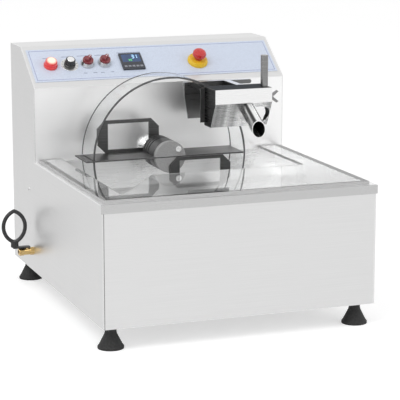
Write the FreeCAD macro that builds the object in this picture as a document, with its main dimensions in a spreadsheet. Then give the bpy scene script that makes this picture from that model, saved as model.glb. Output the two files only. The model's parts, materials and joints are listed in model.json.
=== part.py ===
import FreeCAD, Part
import os
import re
import Sketcher
from FreeCAD import Placement, Rotation, Vector

# Chocolate tempering machine: a free-standing steel body with an open tank at
# the front, a raised housing at the back, and a clear wheel that turns in the tank.
# X runs to the right, Y to the back and Z up. Each piece is built from the middle of
# the body, and then all move to the right, so that the origin lies on the surface the
# feet stand on, under the middle of the overall box with its valve handle.

SIZES = [
    ("width", 550, "body, side to side"),
    ("depth", 640, "body, front to back"),
    ("total_height", 506, "surface to the top of the housing"),
    ("foot_height", 45, "surface to the underside of the body"),
    ("deck_height", 235, "underside of the body to the tank's rim"),
    ("sheet", 2, "body sheet"),
    ("housing_depth", 180, "mirror wall to the back"),
    ("slope_run", 102, "control face, measured level"),
    ("slope_rise", 74, "control face, measured upright"),
    ("lip_reach", 3, "control face's lower edge, proud of the mirror wall"),
    ("lip_return", 12, "fold under the control face's lower edge"),
    ("rim_side", 20, "tank flange at the sides"),
    ("rim_front", 28, "tank flange at the front"),
    ("rim_proud", 2, "tank flange past the body"),
    ("rim_skirt", 17, "fold down the front of the tank flange"),
    ("tank_sheet", 2, "tank sheet"),
    ("tank_straight", 65, "upright upper walls of the tank"),
    ("tank_deep", 168, "rim to the floor of the sump"),
    ("tank_back_gap", 8, "tank's inner back to the mirror wall"),
    ("sump_half", 150, "sump, wheel axis to each side"),
    ("sump_front", 82, "sump, wheel's middle plane to the front"),
    ("sump_back", 78, "sump, wheel's middle plane to the back"),
    ("jacket_sheet", 2, "water jacket sheet"),
    ("jacket_floor", 76, "surface to the underside of the jacket"),
    ("jacket_lap", 20, "jacket's lap on the tank's upright walls"),
    ("cover_thick", 5, "clear cover"),
    ("cover_side", 8, "body side to the cover"),
    ("cover_front", 15, "body front to the cover"),
    ("cover_back", 4, "cover to the mirror wall"),
    ("cover_strip", 47, "width of the cover's side strips"),
    ("cover_nose", 37, "width of the cover's narrow front strip"),
    ("cover_lay", 207, "depth of the cover's wide front part"),
    ("cover_slant", 117, "filling corner, measured along the front"),
    ("wheel_across", -30, "wheel axis, from the middle of the body"),
    ("wheel_along", 40, "wheel's middle plane, from the middle of the body"),
    ("wheel_rise", 19, "wheel axis above the rim"),
    ("hoop_radius", 163, "clear hoop, outside"),
    ("hoop_wall", 4, "clear hoop's wall"),
    ("hoop_inset", 1.5, "clear hoop's rim from the blade's edge"),
    ("blade_thick", 3, "cross blade's sheet"),
    ("blade_width", 80, "cross blade, front to back"),
    ("blade_tip", 14, "cross blade's tip past the hoop"),
    ("blade_bridge", 8, "cross blade's web across the hub"),
    ("hub_radius", 32.5, "hub"),
    ("hub_slot", 10, "depth of the hub's side slots"),
    ("hub_cap", 10, "front cap of the hub"),
    ("hub_neck", 2.5, "dark groove behind the cap"),
    ("hub_step", 4, "how far the groove and ribs are cut in"),
    ("hub_rib", 6, "spacing of the hub's ribs"),
    ("screw_offset", 16, "locating screw, across and up from the axis"),
    ("screw_radius", 6, "locating screw's head"),
    ("screw_head", 4, "locating screw's head, thickness"),
    ("shaft_radius", 8, "drive shaft"),
    ("shaft_fit", 0.05, "running gap round the drive shaft"),
    ("shaft_back", 145, "drive shaft behind the wheel's middle plane"),
    ("shaft_front", 25, "drive shaft in front of that plane"),
    ("paddle_wide", 132, "paddle frame"),
    ("paddle_high", 68, "paddle frame"),
    ("paddle_thick", 3.5, "paddle frame's sheet"),
    ("paddle_side", 22, "paddle frame's upright bars"),
    ("paddle_bar", 7.5, "paddle frame's level bars"),
    ("paddle_corner", 17, "paddle frame's cut corners"),
    ("paddle_out", 62.7, "middle of the frame from the axis"),
    ("paddle_up", 34.5, "middle of the frame above or below the blade"),
    ("bearing_radius", 23, "bearing flange on the mirror wall"),
    ("bearing_thick", 12, "bearing flange"),
    ("bearing_neck", 14, "bearing's neck through the wall"),
    ("seat_gap", 0.3, "between pieces that lie close without touching"),
    ("bracket_side", 110, "motor bracket"),
    ("bracket_thick", 4, "motor bracket"),
    ("gearbox_radius", 38, "gearbox"),
    ("gearbox_long", 48, "gearbox"),
    ("motor_radius", 31, "motor"),
    ("motor_long", 88, "motor"),
    ("hood_left", 71, "scraper hood's left side from the wheel axis"),
    ("hood_wide", 122, "scraper hood"),
    ("hood_gap", 5, "hood behind, in front of the blade"),
    ("hood_deep", 63, "scraper hood, front to back"),
    ("hood_top", 160, "scraper hood's top above the rim"),
    ("hood_bar", 29, "bright front bar"),
    ("hood_drop", 79, "scraper hood, top to bottom"),
    ("hood_toe", 26, "how far the sloped front leans back"),
    ("hood_sheet", 2.5, "scraper hood sheet"),
    ("feed_left", 75, "slot in the sloped front, left end from the hood's side"),
    ("feed_right", 105, "slot in the sloped front, right end from the hood's side"),
    ("feed_round", 16.5, "slot in the sloped front, half its height"),
    ("feed_up", 24, "slot in the sloped front, above the hood's bottom edge"),
    ("plate_gap", 5, "back plate behind the blade"),
    ("plate_thick", 3, "back plate"),
    ("plate_taper", 8, "back plate's slanted left edge"),
    ("plate_head", 19, "back plate's upright left edge"),
    ("rail_deep", 8, "rail along the back plate"),
    ("rail_high", 9, "rail along the back plate"),
    ("rail_past", 17, "rail past the hood's right side"),
    ("strip_wide", 9, "black strip beside the hood"),
    ("strip_deep", 3, "black strip beside the hood"),
    ("wiper_gap", 0.6, "wiper to blade edge"),
    ("wiper_in", 13, "wiper inside the hoop's outside radius"),
    ("wiper_out", 7, "wiper outside the hoop's outside radius"),
    ("spout_radius", 14.5, "spout"),
    ("spout_wall", 1.5, "spout"),
    ("spout_gap", 0.3, "spout to the edge of its hole in the hood"),
    ("spout_tilt", 35, "spout below level, degrees"),
    ("spout_yaw", 5.6, "spout to the right of straight ahead, degrees"),
    ("spout_across", 76, "spout from the hood's left side"),
    ("spout_reach", 42, "spout's mouth in front of the hood"),
    ("spout_mouth", 76, "spout's mouth below the hood's top"),
    ("rod_radius", 7.5, "support rod"),
    ("rod_inset", 10, "support rod from the hood's right side"),
    ("rod_back", 18, "support rod behind the hood's front"),
    ("rod_above", 48, "support rod above the hood"),
    ("arm_thick", 8, "support arm"),
    ("arm_half", 7.5, "support arm, half its width"),
    ("arm_below", 33, "support arm's underside below the hood's top"),
    ("wing_below", 21, "wing screw below the hood's top"),
    ("wing_shank", 3, "wing screw's shank, radius"),
    ("foot_inset_x", 25, "foot from the body's side"),
    ("foot_inset_y", 36, "foot from the body's front or back"),
    ("foot_base", 25, "foot's base, radius"),
    ("foot_neck", 11, "foot's neck, radius"),
    ("foot_stud", 4, "foot's stud, radius"),
    ("panel_margin", 17, "printed panel from the control face's lower edge"),
    ("panel_high", 97, "printed panel"),
    ("panel_wide", 534, "printed panel"),
    ("panel_thick", 0.8, "printed panel"),
    ("row_up", 64, "control row above the face's lower edge"),
    ("lamp_across", -225, "lamp"),
    ("knob_across", -184, "speed knob"),
    ("switch_across", -146, "first selector"),
    ("switch_pitch", 37, "first to second selector"),
    ("control_across", -49, "temperature controller"),
    ("stop_across", 96, "emergency stop"),
    ("stop_up", 57, "emergency stop above the face's lower edge"),
    ("bush_radius", 10.9, "barrel of the lamp, selectors and stop"),
    ("bush_gap", 0.2, "hole round a barrel"),
    ("bezel_radius", 14.5, "lamp and selector bezels"),
    ("turn_fit", 0.06, "running gap of turning and sliding controls"),
    ("knob_radius", 12, "speed knob"),
    ("knob_high", 15, "speed knob"),
    ("knob_stem", 3, "speed knob's spindle, radius"),
    ("dial_radius", 18.5, "dial plate"),
    ("case_side", 48, "temperature controller's bezel"),
    ("case_body", 44.8, "temperature controller's body"),
    ("case_proud", 4, "temperature controller's bezel, thickness"),
    ("case_deep", 75, "temperature controller behind the panel"),
    ("window_wide", 40, "controller's window"),
    ("window_high", 23, "controller's window"),
    ("window_deep", 1.5, "controller's window recess"),
    ("key_pitch", 8.6, "controller's keys"),
    ("key_wide", 6, "controller's key"),
    ("key_high", 5, "controller's key"),
    ("key_proud", 1.2, "controller's key above the bezel"),
    ("stop_base", 21.5, "emergency stop's yellow base, radius"),
    ("stop_base_high", 9, "emergency stop's yellow base"),
    ("stop_head", 14.5, "emergency stop's head, radius"),
    ("stop_stem", 8, "emergency stop's stem, radius"),
    ("stop_room", 7, "under the emergency stop's head"),
    ("valve_behind", 29, "drain valve behind the water jacket"),
    ("valve_up", 88, "drain valve above the surface"),
    ("valve_bore", 4, "drain valve's bore, radius"),
    ("valve_round", 7, "drain valve's barrel and pipe, radius"),
    ("valve_hex", 8.5, "drain valve's hexagons, radius"),
    ("valve_long", 30, "drain valve past the side panel"),
    ("stem_out", 14, "valve stem from the side panel"),
    ("lever_reach", 26, "valve lever"),
    ("loop_high", 66, "valve handle's loop"),
    ("loop_half", 23, "valve handle's loop, half its width"),
    ("loop_round", 4, "valve handle's loop, radius of its bar"),
    ("heater_round", 4.5, "heating element's tube, radius"),
    ("heater_half", 30, "heating element, half its width"),
    ("heater_long", 350, "heating element"),
    ("inlet_across", 190, "power inlet"),
    ("inlet_up", 100, "power inlet above the surface"),
    ("vent_wide", 60, "cooling slot"),
    ("vent_high", 5, "cooling slot"),
    ("vent_pitch", 14, "cooling slots"),
    ("screw_small", 3.5, "body screw's head, radius"),
]

# Places that several pieces share, worked out from the sizes.
PLACES = {
    "side_x": "width / 2",
    "inner_x": "width / 2 - sheet",
    "front_y": "-depth / 2",
    "back_y": "depth / 2",
    "wall_y": "depth / 2 - housing_depth",
    "deck_z": "foot_height + deck_height",
    "lip_y": "wall_y - lip_reach",
    "lip_z": "total_height - slope_rise",
    "crest_y": "lip_y + slope_run",
    "slope": "atan(slope_rise / slope_run)",
    "well_x": "side_x - rim_side",
    "well_front": "front_y + rim_front",
    "well_back": "wall_y - tank_back_gap",
    "well_low": "deck_z - tank_straight",
    "sump_z": "deck_z - tank_deep",
    "axis_z": "deck_z + wheel_rise",
    "blade_front": "wheel_along - blade_width / 2",
    "blade_back": "wheel_along + blade_width / 2",
    "hood_x": "wheel_across + hood_left",
    "hood_right": "hood_x + hood_wide",
    "hood_back": "blade_front - hood_gap",
    "hood_front": "hood_back - hood_deep",
    "hood_z": "deck_z + hood_top",
    "bar_z": "hood_z - hood_bar",
    "hem_z": "hood_z - hood_drop",
    "toe_y": "hood_front + hood_toe",
    "plate_y": "blade_back + plate_gap",
    "rod_x": "hood_right - rod_inset",
    "rod_y": "hood_front + rod_back",
    "arm_z": "hood_z - arm_below",
    "wing_z": "hood_z - wing_below",
    "foot_x": "side_x - foot_inset_x",
    "foot_y": "depth / 2 - foot_inset_y",
    "face": "panel_thick",
    "jacket_x": "well_x + tank_sheet + jacket_sheet",
    "jacket_front": "well_front - tank_sheet - jacket_sheet",
    "jacket_back": "well_back + tank_sheet + jacket_sheet",
    "pipe_x": "-side_x + 60",
    "valve_along": "jacket_back + valve_behind",
    "hoop_width": "blade_width - 2 * hoop_inset",
    "middle_x": "(stem_out + lever_reach + loop_half + loop_round - rim_proud) / 2",
    "heater_z": "jacket_floor + jacket_sheet + heater_round + 7",
    "motor_y": "wall_y + sheet + bracket_thick",
    "stem_x": "-side_x - stem_out",
    "lever_z": "valve_up + valve_hex",
}

doc = FreeCAD.newDocument("ChocolateTemperingMachine")
sheet = doc.addObject("Spreadsheet::Sheet", "Size")
for row, (name, value, meaning) in enumerate(SIZES, 1):
    sheet.set(f"A{row}", meaning)
    sheet.set(f"B{row}", str(value))
    sheet.setAlias(f"B{row}", name)
doc.recompute()

SIZE_NAMES = {name for name, value, meaning in SIZES}
pieces = []
cuts = []


def tied(formula):
    """Spells a formula out: places are expanded and size names point at the sheet."""
    def word(match):
        name = match.group()
        if name in PLACES:
            return f"({tied(PLACES[name])})"
        return f"Size.{name}" if name in SIZE_NAMES else name
    return re.sub(r"[A-Za-z_]\w*", word, str(formula))


def tie(made, **formulas):
    """Binds properties of an object to formulas."""
    for name, formula in formulas.items():
        made.setExpression(name.replace("__", "."), tied(formula))
    return made


def piece(made, label):
    """Marks an object as a finished sub-part of this name."""
    made.Label = label
    pieces.append(made)
    return made


def place(made, x="0", y="0", z="0", turn=None):
    """Puts an object at a point, turned by (axis, angle formula)."""
    if turn:
        axis, angle = turn
        made.Placement = Placement(Vector(), Rotation(axis, 30))
        tie(made, Placement__Rotation__Angle=angle)
    return tie(made, Placement__Base__x=x, Placement__Base__y=y, Placement__Base__z=z)


X_AXIS = Vector(1, 0, 0)
Y_AXIS = Vector(0, 1, 0)
TO_FRONT = (X_AXIS, "90")    # own Z points to the front, own Y points up
TO_BACK = (X_AXIS, "-90")    # own Z points to the back
TO_RIGHT = (Y_AXIS, "90")    # own Z points to the right


def on_slope(made, across, up="row_up", lift="0"):
    """Puts an object on the sloped control face, own Z square to the face."""
    return place(made, across,
                 f"lip_y + ({up}) * cos(slope) - ({lift}) * sin(slope)",
                 f"lip_z + ({up}) * sin(slope) + ({lift}) * cos(slope)",
                 turn=(X_AXIS, "slope"))


def in_wheel(made):
    """Puts an object in the wheel: own Z on the wheel's axis, pointing to the front."""
    return place(made, "wheel_across", "wheel_along", "axis_z", turn=TO_FRONT)


# Part primitives and booleans

def box(x, y, z):
    """Block between two formulas along each axis."""
    made = doc.addObject("Part::Box", "Block")
    tie(made, Length=f"({x[1]}) - ({x[0]})", Width=f"({y[1]}) - ({y[0]})",
        Height=f"({z[1]}) - ({z[0]})")
    return place(made, x[0], y[0], z[0])


def rod(radius, length, start, turn=None):
    """Cylinder from a start point along the turned Z axis."""
    made = doc.addObject("Part::Cylinder", "Rod")
    tie(made, Radius=radius, Height=length)
    return place(made, *start, turn=turn)


def hexagon(radius, length, start, turn=None):
    """Hexagonal bar from a start point along the turned Z axis."""
    made = doc.addObject("Part::Prism", "Hexagon")
    tie(made, Circumradius=radius, Height=length)
    return place(made, *start, turn=turn)


def ball(radius, centre):
    made = doc.addObject("Part::Sphere", "Ball")
    tie(made, Radius=radius)
    return place(made, *centre)


def join(*shapes):
    made = doc.addObject("Part::MultiFuse", "Join")
    made.Shapes = list(shapes)
    return made


def carve(base, *tools):
    made = doc.addObject("Part::Cut", "Carve")
    made.Base = base
    made.Tool = join(*tools) if len(tools) > 1 else tools[0]
    return made


def overlap(*shapes):
    made = doc.addObject("Part::MultiCommon", "Overlap")
    made.Shapes = list(shapes)
    return made


# Part Design bodies

def new_body(label):
    return piece(doc.addObject("PartDesign::Body", label), label)


def sketch(body, plane="XY_Plane", offset="0"):
    """Sketch on one of the body's own planes, moved along the plane's normal."""
    made = body.newObject("Sketcher::SketchObject", "Sketch")
    found = [f for f in body.Origin.OriginFeatures if f.Role == plane]
    made.AttachmentSupport = [(found[0], "")]
    made.MapMode = "FlatFace"
    return tie(made, AttachmentOffset__Base__z=offset)


def pin_point(drawing, geometry, point, x, y):
    """Holds a sketch point at a pair of formulas."""
    for kind, formula in (("DistanceX", x), ("DistanceY", y)):
        index = drawing.addConstraint(Sketcher.Constraint(kind, -1, 1, geometry, point, 1.0))
        drawing.setExpression(f"Constraints[{index}]", tied(formula))


def outline(drawing, corners):
    """Closed outline of straight edges through corners given as pairs of formulas."""
    first = drawing.GeometryCount
    count = len(corners)
    for step in range(count):
        start = Vector(step, step * step, 0)
        end = Vector((step + 1) % count, ((step + 1) % count) ** 2, 0)
        drawing.addGeometry(Part.LineSegment(start, end))
    for step in range(count):
        after = first + (step + 1) % count
        drawing.addConstraint(Sketcher.Constraint("Coincident", first + step, 2, after, 1))
    for step, (x, y) in enumerate(corners):
        pin_point(drawing, first + step, 1, x, y)
    return drawing


def rectangle(drawing, x, y):
    """Rectangle between two formulas each way."""
    return outline(drawing, [(x[0], y[0]), (x[1], y[0]), (x[1], y[1]), (x[0], y[1])])


def circle(drawing, radius, x="0", y="0"):
    index = drawing.addGeometry(Part.Circle(Vector(), Vector(0, 0, 1), 1.0))
    pin_point(drawing, index, 3, x, y)
    number = drawing.addConstraint(Sketcher.Constraint("Radius", index, 1.0))
    drawing.setExpression(f"Constraints[{number}]", tied(radius))
    return drawing


def feature(drawing, kind, length=None, both=False, back=False):
    """Pad or Pocket of a sketch; a pocket without a length goes through everything."""
    body = drawing.getParentGeoFeatureGroup()
    made = body.newObject(f"PartDesign::{kind}", kind)
    made.Profile = drawing
    if length is None:
        made.Type = "ThroughAll"
    else:
        tie(made, Length=length)
    if both:
        made.SideType = "Symmetric"
    made.Reversed = back
    if kind == "Pocket":
        cuts.append(made)
    body.Tip = made
    return made


def pad(drawing, length, both=False, back=False):
    return feature(drawing, "Pad", length, both, back)


def pocket(drawing, length=None, both=False, back=False):
    return feature(drawing, "Pocket", length, both, back)


def pattern(made, drawing, axis, count, pitch):
    """Row of copies of a feature along one of its sketch's axes."""
    body = made.getParentGeoFeatureGroup()
    row = body.newObject("PartDesign::LinearPattern", "Row")
    row.Originals = [made]
    row.Direction = (drawing, [axis])
    row.Mode = "Spacing"
    row.Occurrences = count
    tie(row, Offset=pitch)
    body.Tip = row
    return row


def turned(label, profile):
    """Body turned about its own Z from an outline of (radius, height) formulas."""
    body = new_body(label)
    drawing = outline(sketch(body, "XZ_Plane"), profile)
    made = body.newObject("PartDesign::Revolution", "Revolution")
    made.Profile = drawing
    made.ReferenceAxis = (drawing, ["V_Axis"])
    made.Angle = 360
    body.Tip = made
    return body


# Body shell

def side_panels():
    """L-shaped sheets, low beside the tank and high beside the housing."""
    profile = [("front_y", "foot_height"), ("back_y", "foot_height"),
               ("back_y", "total_height"), ("crest_y", "total_height"),
               ("lip_y", "lip_z"), ("wall_y", "lip_z"),
               ("wall_y", "deck_z - tank_sheet"), ("front_y", "deck_z - tank_sheet")]
    left = new_body("side_panel_left")
    pad(outline(sketch(left, "YZ_Plane", "-side_x"), profile), "sheet")
    hole = circle(sketch(left, "YZ_Plane", "-side_x"), "valve_round", "valve_along", "valve_up")
    pocket(hole, "sheet", back=True)
    right = new_body("side_panel_right")
    pad(outline(sketch(right, "YZ_Plane", "side_x - sheet"), profile), "sheet")


def front_panel():
    made = box(("-inner_x", "inner_x"), ("front_y", "front_y + sheet"),
               ("foot_height", "deck_z - tank_sheet"))
    hem = box(("-inner_x", "inner_x"), ("front_y + sheet", "front_y + 14"),
              ("foot_height + sheet", "foot_height + 2 * sheet"))
    piece(join(made, hem), "front_panel")


def bottom_plate():
    """Floor sheet with cooling slots and a hole for each foot's stud."""
    body = new_body("bottom_plate")
    pad(rectangle(sketch(body, offset="foot_height"), ("-inner_x", "inner_x"),
                  ("front_y + sheet", "back_y - sheet")), "sheet")
    studs = sketch(body, offset="foot_height")
    for side in ("-foot_x", "foot_x"):
        for end in ("-foot_y", "foot_y"):
            circle(studs, "foot_stud", side, end)
    pocket(studs, "sheet", back=True)
    slot = rectangle(sketch(body, offset="foot_height"), ("-vent_wide / 2", "vent_wide / 2"),
                     ("wall_y + 20", "wall_y + 20 + vent_high"))
    pattern(pocket(slot, "sheet", back=True), slot, "V_Axis", 9, "vent_pitch")


def rear_panel():
    """Back sheet with two columns of cooling slots and the power inlet's cut-out."""
    body = new_body("rear_panel")
    plane = "-back_y"
    pad(rectangle(sketch(body, "XZ_Plane", plane), ("-inner_x", "inner_x"),
                  ("foot_height", "total_height - sheet")), "sheet")
    slot = sketch(body, "XZ_Plane", plane)
    for start in ("-2.5 * vent_wide", "1.5 * vent_wide"):
        rectangle(slot, (start, f"{start} + vent_wide"), ("deck_z", "deck_z + vent_high"))
    pattern(pocket(slot, "sheet", back=True), slot, "V_Axis", 11, "vent_pitch")
    inlet = rectangle(sketch(body, "XZ_Plane", plane),
                      ("inlet_across - 14", "inlet_across + 14"), ("inlet_up - 10", "inlet_up + 10"))
    pocket(inlet, "sheet", back=True)


def mirror_wall():
    """Polished upright sheet behind the wheel, standing on the tank's flange."""
    body = new_body("mirror_wall")
    plane = "-wall_y - sheet"
    pad(rectangle(sketch(body, "XZ_Plane", plane), ("-inner_x", "inner_x"),
                  ("deck_z", "lip_z")), "sheet")
    pocket(circle(sketch(body, "XZ_Plane", plane), "bearing_neck", "wheel_across", "axis_z"),
           "sheet", back=True)


def slope_sketch(body):
    """Sketch in the plane of the control face, X across and Y up the slope."""
    made = sketch(body)
    made.AttachmentOffset = Placement(Vector(), Rotation(X_AXIS, 30))
    return tie(made, AttachmentOffset__Rotation__Angle="slope",
               AttachmentOffset__Base__y="lip_y", AttachmentOffset__Base__z="lip_z")


ROUND_HOLES = [("lamp_across", "row_up"), ("switch_across", "row_up"),
               ("switch_across + switch_pitch", "row_up"), ("stop_across", "stop_up")]


def control_holes(drawing):
    """Cut-outs for the controls, in the plane of the face."""
    for across, up in ROUND_HOLES:
        circle(drawing, "bush_radius + bush_gap", across, up)
    circle(drawing, "knob_stem + bush_gap", "knob_across", "row_up")
    half = "case_body / 2 + bush_gap"
    rectangle(drawing, (f"control_across - ({half})", f"control_across + {half}"),
              (f"row_up - ({half})", f"row_up + {half}"))
    return drawing


def control_housing():
    """Bent sheet: fold under, sloped face and level top."""
    body = new_body("control_housing")
    bent = outline(sketch(body, "YZ_Plane", "-inner_x"), [
        ("lip_y", "lip_z"), ("wall_y + lip_return", "lip_z"),
        ("wall_y + lip_return", "lip_z + sheet"),
        ("lip_y + sheet / tan(slope / 2)", "lip_z + sheet"),
        ("crest_y + sheet * tan(slope / 2)", "total_height - sheet"),
        ("back_y", "total_height - sheet"), ("back_y", "total_height"),
        ("crest_y", "total_height")])
    pad(bent, "2 * inner_x")
    pocket(control_holes(slope_sketch(body)), "3 * sheet", both=True)


def control_panel():
    """Thin printed panel on the control face."""
    body = new_body("printed_panel")
    drawing = rectangle(slope_sketch(body), ("-panel_wide / 2", "panel_wide / 2"),
                        ("panel_margin", "panel_margin + panel_high"))
    pad(control_holes(drawing), "panel_thick")


# Tank, jacket and cover

def loft(kind, lower, upper):
    body = lower.getParentGeoFeatureGroup()
    made = body.newObject(f"PartDesign::{kind}Loft", "Loft")
    made.Profile = lower
    made.Sections = [upper]
    made.Ruled = True
    body.Tip = made
    return made


def tank():
    """Flanged tank: upright walls above a four-sided hopper with a level sump."""
    body = new_body("tank")
    flange = outline(sketch(body, offset="deck_z - tank_sheet"), [
        ("-side_x - rim_proud", "front_y - rim_proud"), ("side_x + rim_proud", "front_y - rim_proud"),
        ("side_x + rim_proud", "wall_y"), ("inner_x", "wall_y"),
        ("inner_x", "motor_y"), ("-inner_x", "motor_y"),
        ("-inner_x", "wall_y"), ("-side_x - rim_proud", "wall_y")])
    pad(flange, "tank_sheet")
    skirt = rectangle(sketch(body, offset="deck_z - rim_skirt"),
                      ("-side_x - rim_proud", "side_x + rim_proud"),
                      ("front_y - rim_proud", "front_y"))
    pad(skirt, "rim_skirt")
    walls = rectangle(sketch(body, offset="well_low"),
                      ("-well_x - tank_sheet", "well_x + tank_sheet"),
                      ("well_front - tank_sheet", "well_back + tank_sheet"))
    pad(walls, "tank_straight")

    def level(offset, grow, sump):
        drawing = sketch(body, offset=offset)
        if sump:
            return rectangle(drawing, (f"wheel_across - sump_half - {grow}",
                                       f"wheel_across + sump_half + {grow}"),
                             (f"wheel_along - sump_front - {grow}",
                              f"wheel_along + sump_back + {grow}"))
        return rectangle(drawing, (f"-well_x - {grow}", f"well_x + {grow}"),
                         (f"well_front - {grow}", f"well_back + {grow}"))

    loft("Additive", level("sump_z - tank_sheet", "tank_sheet", True),
         level("well_low", "tank_sheet", False))
    cuts.append(loft("Subtractive", level("sump_z", "0", True), level("well_low", "0", False)))
    pocket(level("deck_z", "0", False), "tank_straight")


def water_jacket():
    """Open pan lapped on the tank's upright walls; it holds the warm water."""
    outer = box(("-jacket_x", "jacket_x"), ("jacket_front", "jacket_back"),
                ("jacket_floor", "well_low + jacket_lap"))
    inner = box(("-jacket_x + jacket_sheet", "jacket_x - jacket_sheet"),
                ("jacket_front + jacket_sheet", "jacket_back - jacket_sheet"),
                ("jacket_floor + jacket_sheet", "well_low + jacket_lap + 1"))
    holes = [rod("valve_bore", "20", ("pipe_x", "jacket_back - 10", "valve_up"), TO_BACK)]
    for side in ("-heater_half", "heater_half"):
        holes.append(rod("heater_round", "20", (f"80 + {side}", "jacket_back - 10", "heater_z"),
                         TO_BACK))
    holes.append(rod("2.5", "20", ("jacket_x - 10", "-60", "well_low - 80"), TO_RIGHT))
    piece(carve(outer, inner, *holes), "water_jacket")


def heating_element():
    """Hairpin heater tube on the jacket's floor, its ends through the back wall."""
    legs = []
    start = "jacket_back + 15 - heater_long"
    for side in ("-heater_half", "heater_half"):
        legs.append(rod("heater_round", "heater_long", (f"80 + {side}", start, "heater_z"), TO_BACK))
    bend = doc.addObject("Part::Torus", "Bend")
    tie(bend, Radius1="heater_half", Radius2="heater_round")
    bend.Angle3 = 180
    place(bend, "80", start, "heater_z", turn=(Vector(0, 0, 1), "180"))
    piece(join(bend, *legs), "heating_element")


def temperature_probe():
    tip = rod("2.5", "46", ("jacket_x - 40", "-60", "well_low - 80"), TO_RIGHT)
    head = hexagon("6", "6", ("jacket_x", "-60", "well_low - 80"), TO_RIGHT)
    piece(join(tip, head), "temperature_probe")


def clear_cover():
    """Clear sheet on the tank's flange, open round the wheel, with a filling corner."""
    outer = "side_x - cover_side"
    inner = "side_x - cover_side - cover_strip"
    front = "front_y + cover_front"
    back = "wall_y - cover_back"
    lay = "front_y + cover_front + cover_lay"
    nose = "front_y + cover_front + cover_nose"
    body = new_body("clear_cover")
    pad(outline(sketch(body, offset="deck_z"), [
        (f"-({outer})", front), (outer, front), (outer, back), (inner, back), (inner, lay),
        (f"-({inner}) + cover_slant", lay), (f"-({inner})", nose), (f"-({inner})", back),
        (f"-({outer})", back)]), "cover_thick")


# Wheel

def drive_shaft():
    made = rod("shaft_radius", "shaft_front + shaft_back",
               ("wheel_across", "wheel_along + shaft_back", "axis_z"), TO_FRONT)
    piece(made, "drive_shaft")


def hub():
    """Ribbed hub body with side slots for the blade, and a plain slotted cap."""
    back, cap = "-blade_width / 2", "blade_width / 2 - hub_cap"
    neck = f"({cap} - hub_neck)"
    rib = "hub_radius - hub_step / 2"
    profile = [("0", "shaft_front"), ("shaft_radius", "shaft_front"), ("shaft_radius", back),
               ("hub_radius", back)]
    for groove in range(3):
        low, high = f"{back} + {2 * groove + 1} * hub_rib", f"{back} + {2 * groove + 2} * hub_rib"
        profile += [("hub_radius", low), (rib, low), (rib, high), ("hub_radius", high)]
    profile += [("hub_radius", neck), ("hub_radius - hub_step", neck),
                ("hub_radius - hub_step", cap), ("0", cap)]
    body = in_wheel(turned("hub_body", profile))
    slots = sketch(body, offset="-blade_width")
    for side in ("-1", "1"):
        rectangle(slots, (f"{side} * (hub_radius - hub_slot)", f"{side} * (hub_radius + 2)"),
                  ("-blade_thick / 2", "blade_thick / 2"))
    pocket(slots, "2 * blade_width", back=True)

    front = in_wheel(turned("hub_cap", [("0", cap), ("hub_radius", cap),
                                        ("hub_radius", "blade_width / 2 - 1"),
                                        ("hub_radius - 1", "blade_width / 2"),
                                        ("0", "blade_width / 2")]))
    web = rectangle(sketch(front, offset="blade_width / 2 - blade_bridge"),
                    ("-hub_radius - 2", "hub_radius + 2"), ("-blade_thick / 2", "blade_thick / 2"))
    pocket(web, "blade_bridge", back=True)
    sides = sketch(front, offset="0")
    for side in ("-1", "1"):
        rectangle(sides, (f"{side} * (hub_radius - hub_slot)", f"{side} * (hub_radius + 2)"),
                  ("-blade_thick / 2", "blade_thick / 2"))
    pocket(sides, "blade_width", back=True)


def hub_screw():
    """Locating screw on the cap, off the axis, with a hexagon socket."""
    face, offset = "blade_width / 2", "screw_offset"
    head = rod("screw_radius", "screw_head", (offset, offset, face))
    socket = hexagon("screw_radius / 2", "screw_head", (offset, offset, f"{face} + screw_head / 2"))
    made = carve(head, socket)
    piece(in_wheel(made), "hub_screw")


def wheel_hoop():
    """Clear band, open at the left where the blade's tip passes through it."""
    body = in_wheel(new_body("wheel_hoop"))
    ring = circle(sketch(body, offset="-hoop_width / 2"), "hoop_radius")
    pad(circle(ring, "hoop_radius - hoop_wall"), "hoop_width")
    gap = rectangle(sketch(body, offset="-hoop_width"),
                    ("-hoop_radius - 5", "-hoop_radius + hoop_wall + 5"),
                    ("-blade_thick / 2", "blade_thick / 2"))
    pocket(gap, "2 * hoop_width", back=True)


def wheel_blade():
    """Cross blade: two wings joined by a web across the front of the hub."""
    body = in_wheel(new_body("wheel_blade"))
    inner, edge = "hub_radius - hub_slot", "blade_width / 2"
    tip, end = "-hoop_radius - blade_tip", "hoop_radius - hoop_wall - seat_gap"
    web = "blade_width / 2 - blade_bridge"
    pad(outline(sketch(body, "XZ_Plane"), [
        (tip, f"-{edge}"), (f"-({inner})", f"-{edge}"), (f"-({inner})", web), (inner, web),
        (inner, f"-{edge}"),
        (end, f"-{edge}"), (end, edge), (tip, edge)]), "blade_thick", both=True)


def paddle(label, side, offset):
    """Flat frame with cut corners and a square window; side is 1 or -1."""
    body = in_wheel(new_body(label))
    x, y = f"{side} * paddle_out", f"-{side} * paddle_up".replace("--", "")
    wide, high, cut = "paddle_wide / 2", "paddle_high / 2", "paddle_corner"
    corners = [(f"-({wide}) + {cut}", f"-({high})"), (f"{wide} - {cut}", f"-({high})"),
               (wide, f"-({high}) + {cut}"), (wide, f"{high} - {cut}"),
               (f"{wide} - {cut}", high), (f"-({wide}) + {cut}", high),
               (f"-({wide})", f"{high} - {cut}"), (f"-({wide})", f"-({high}) + {cut}")]
    drawing = sketch(body, offset=offset)
    outline(drawing, [(f"{x} + {a}", f"{y} + {b}") for a, b in corners])
    rectangle(drawing, (f"{x} - {wide} + paddle_side", f"{x} + {wide} - paddle_side"),
              (f"{y} - {high} + paddle_bar", f"{y} + {high} - paddle_bar"))
    pad(drawing, "paddle_thick")
    return body


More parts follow.
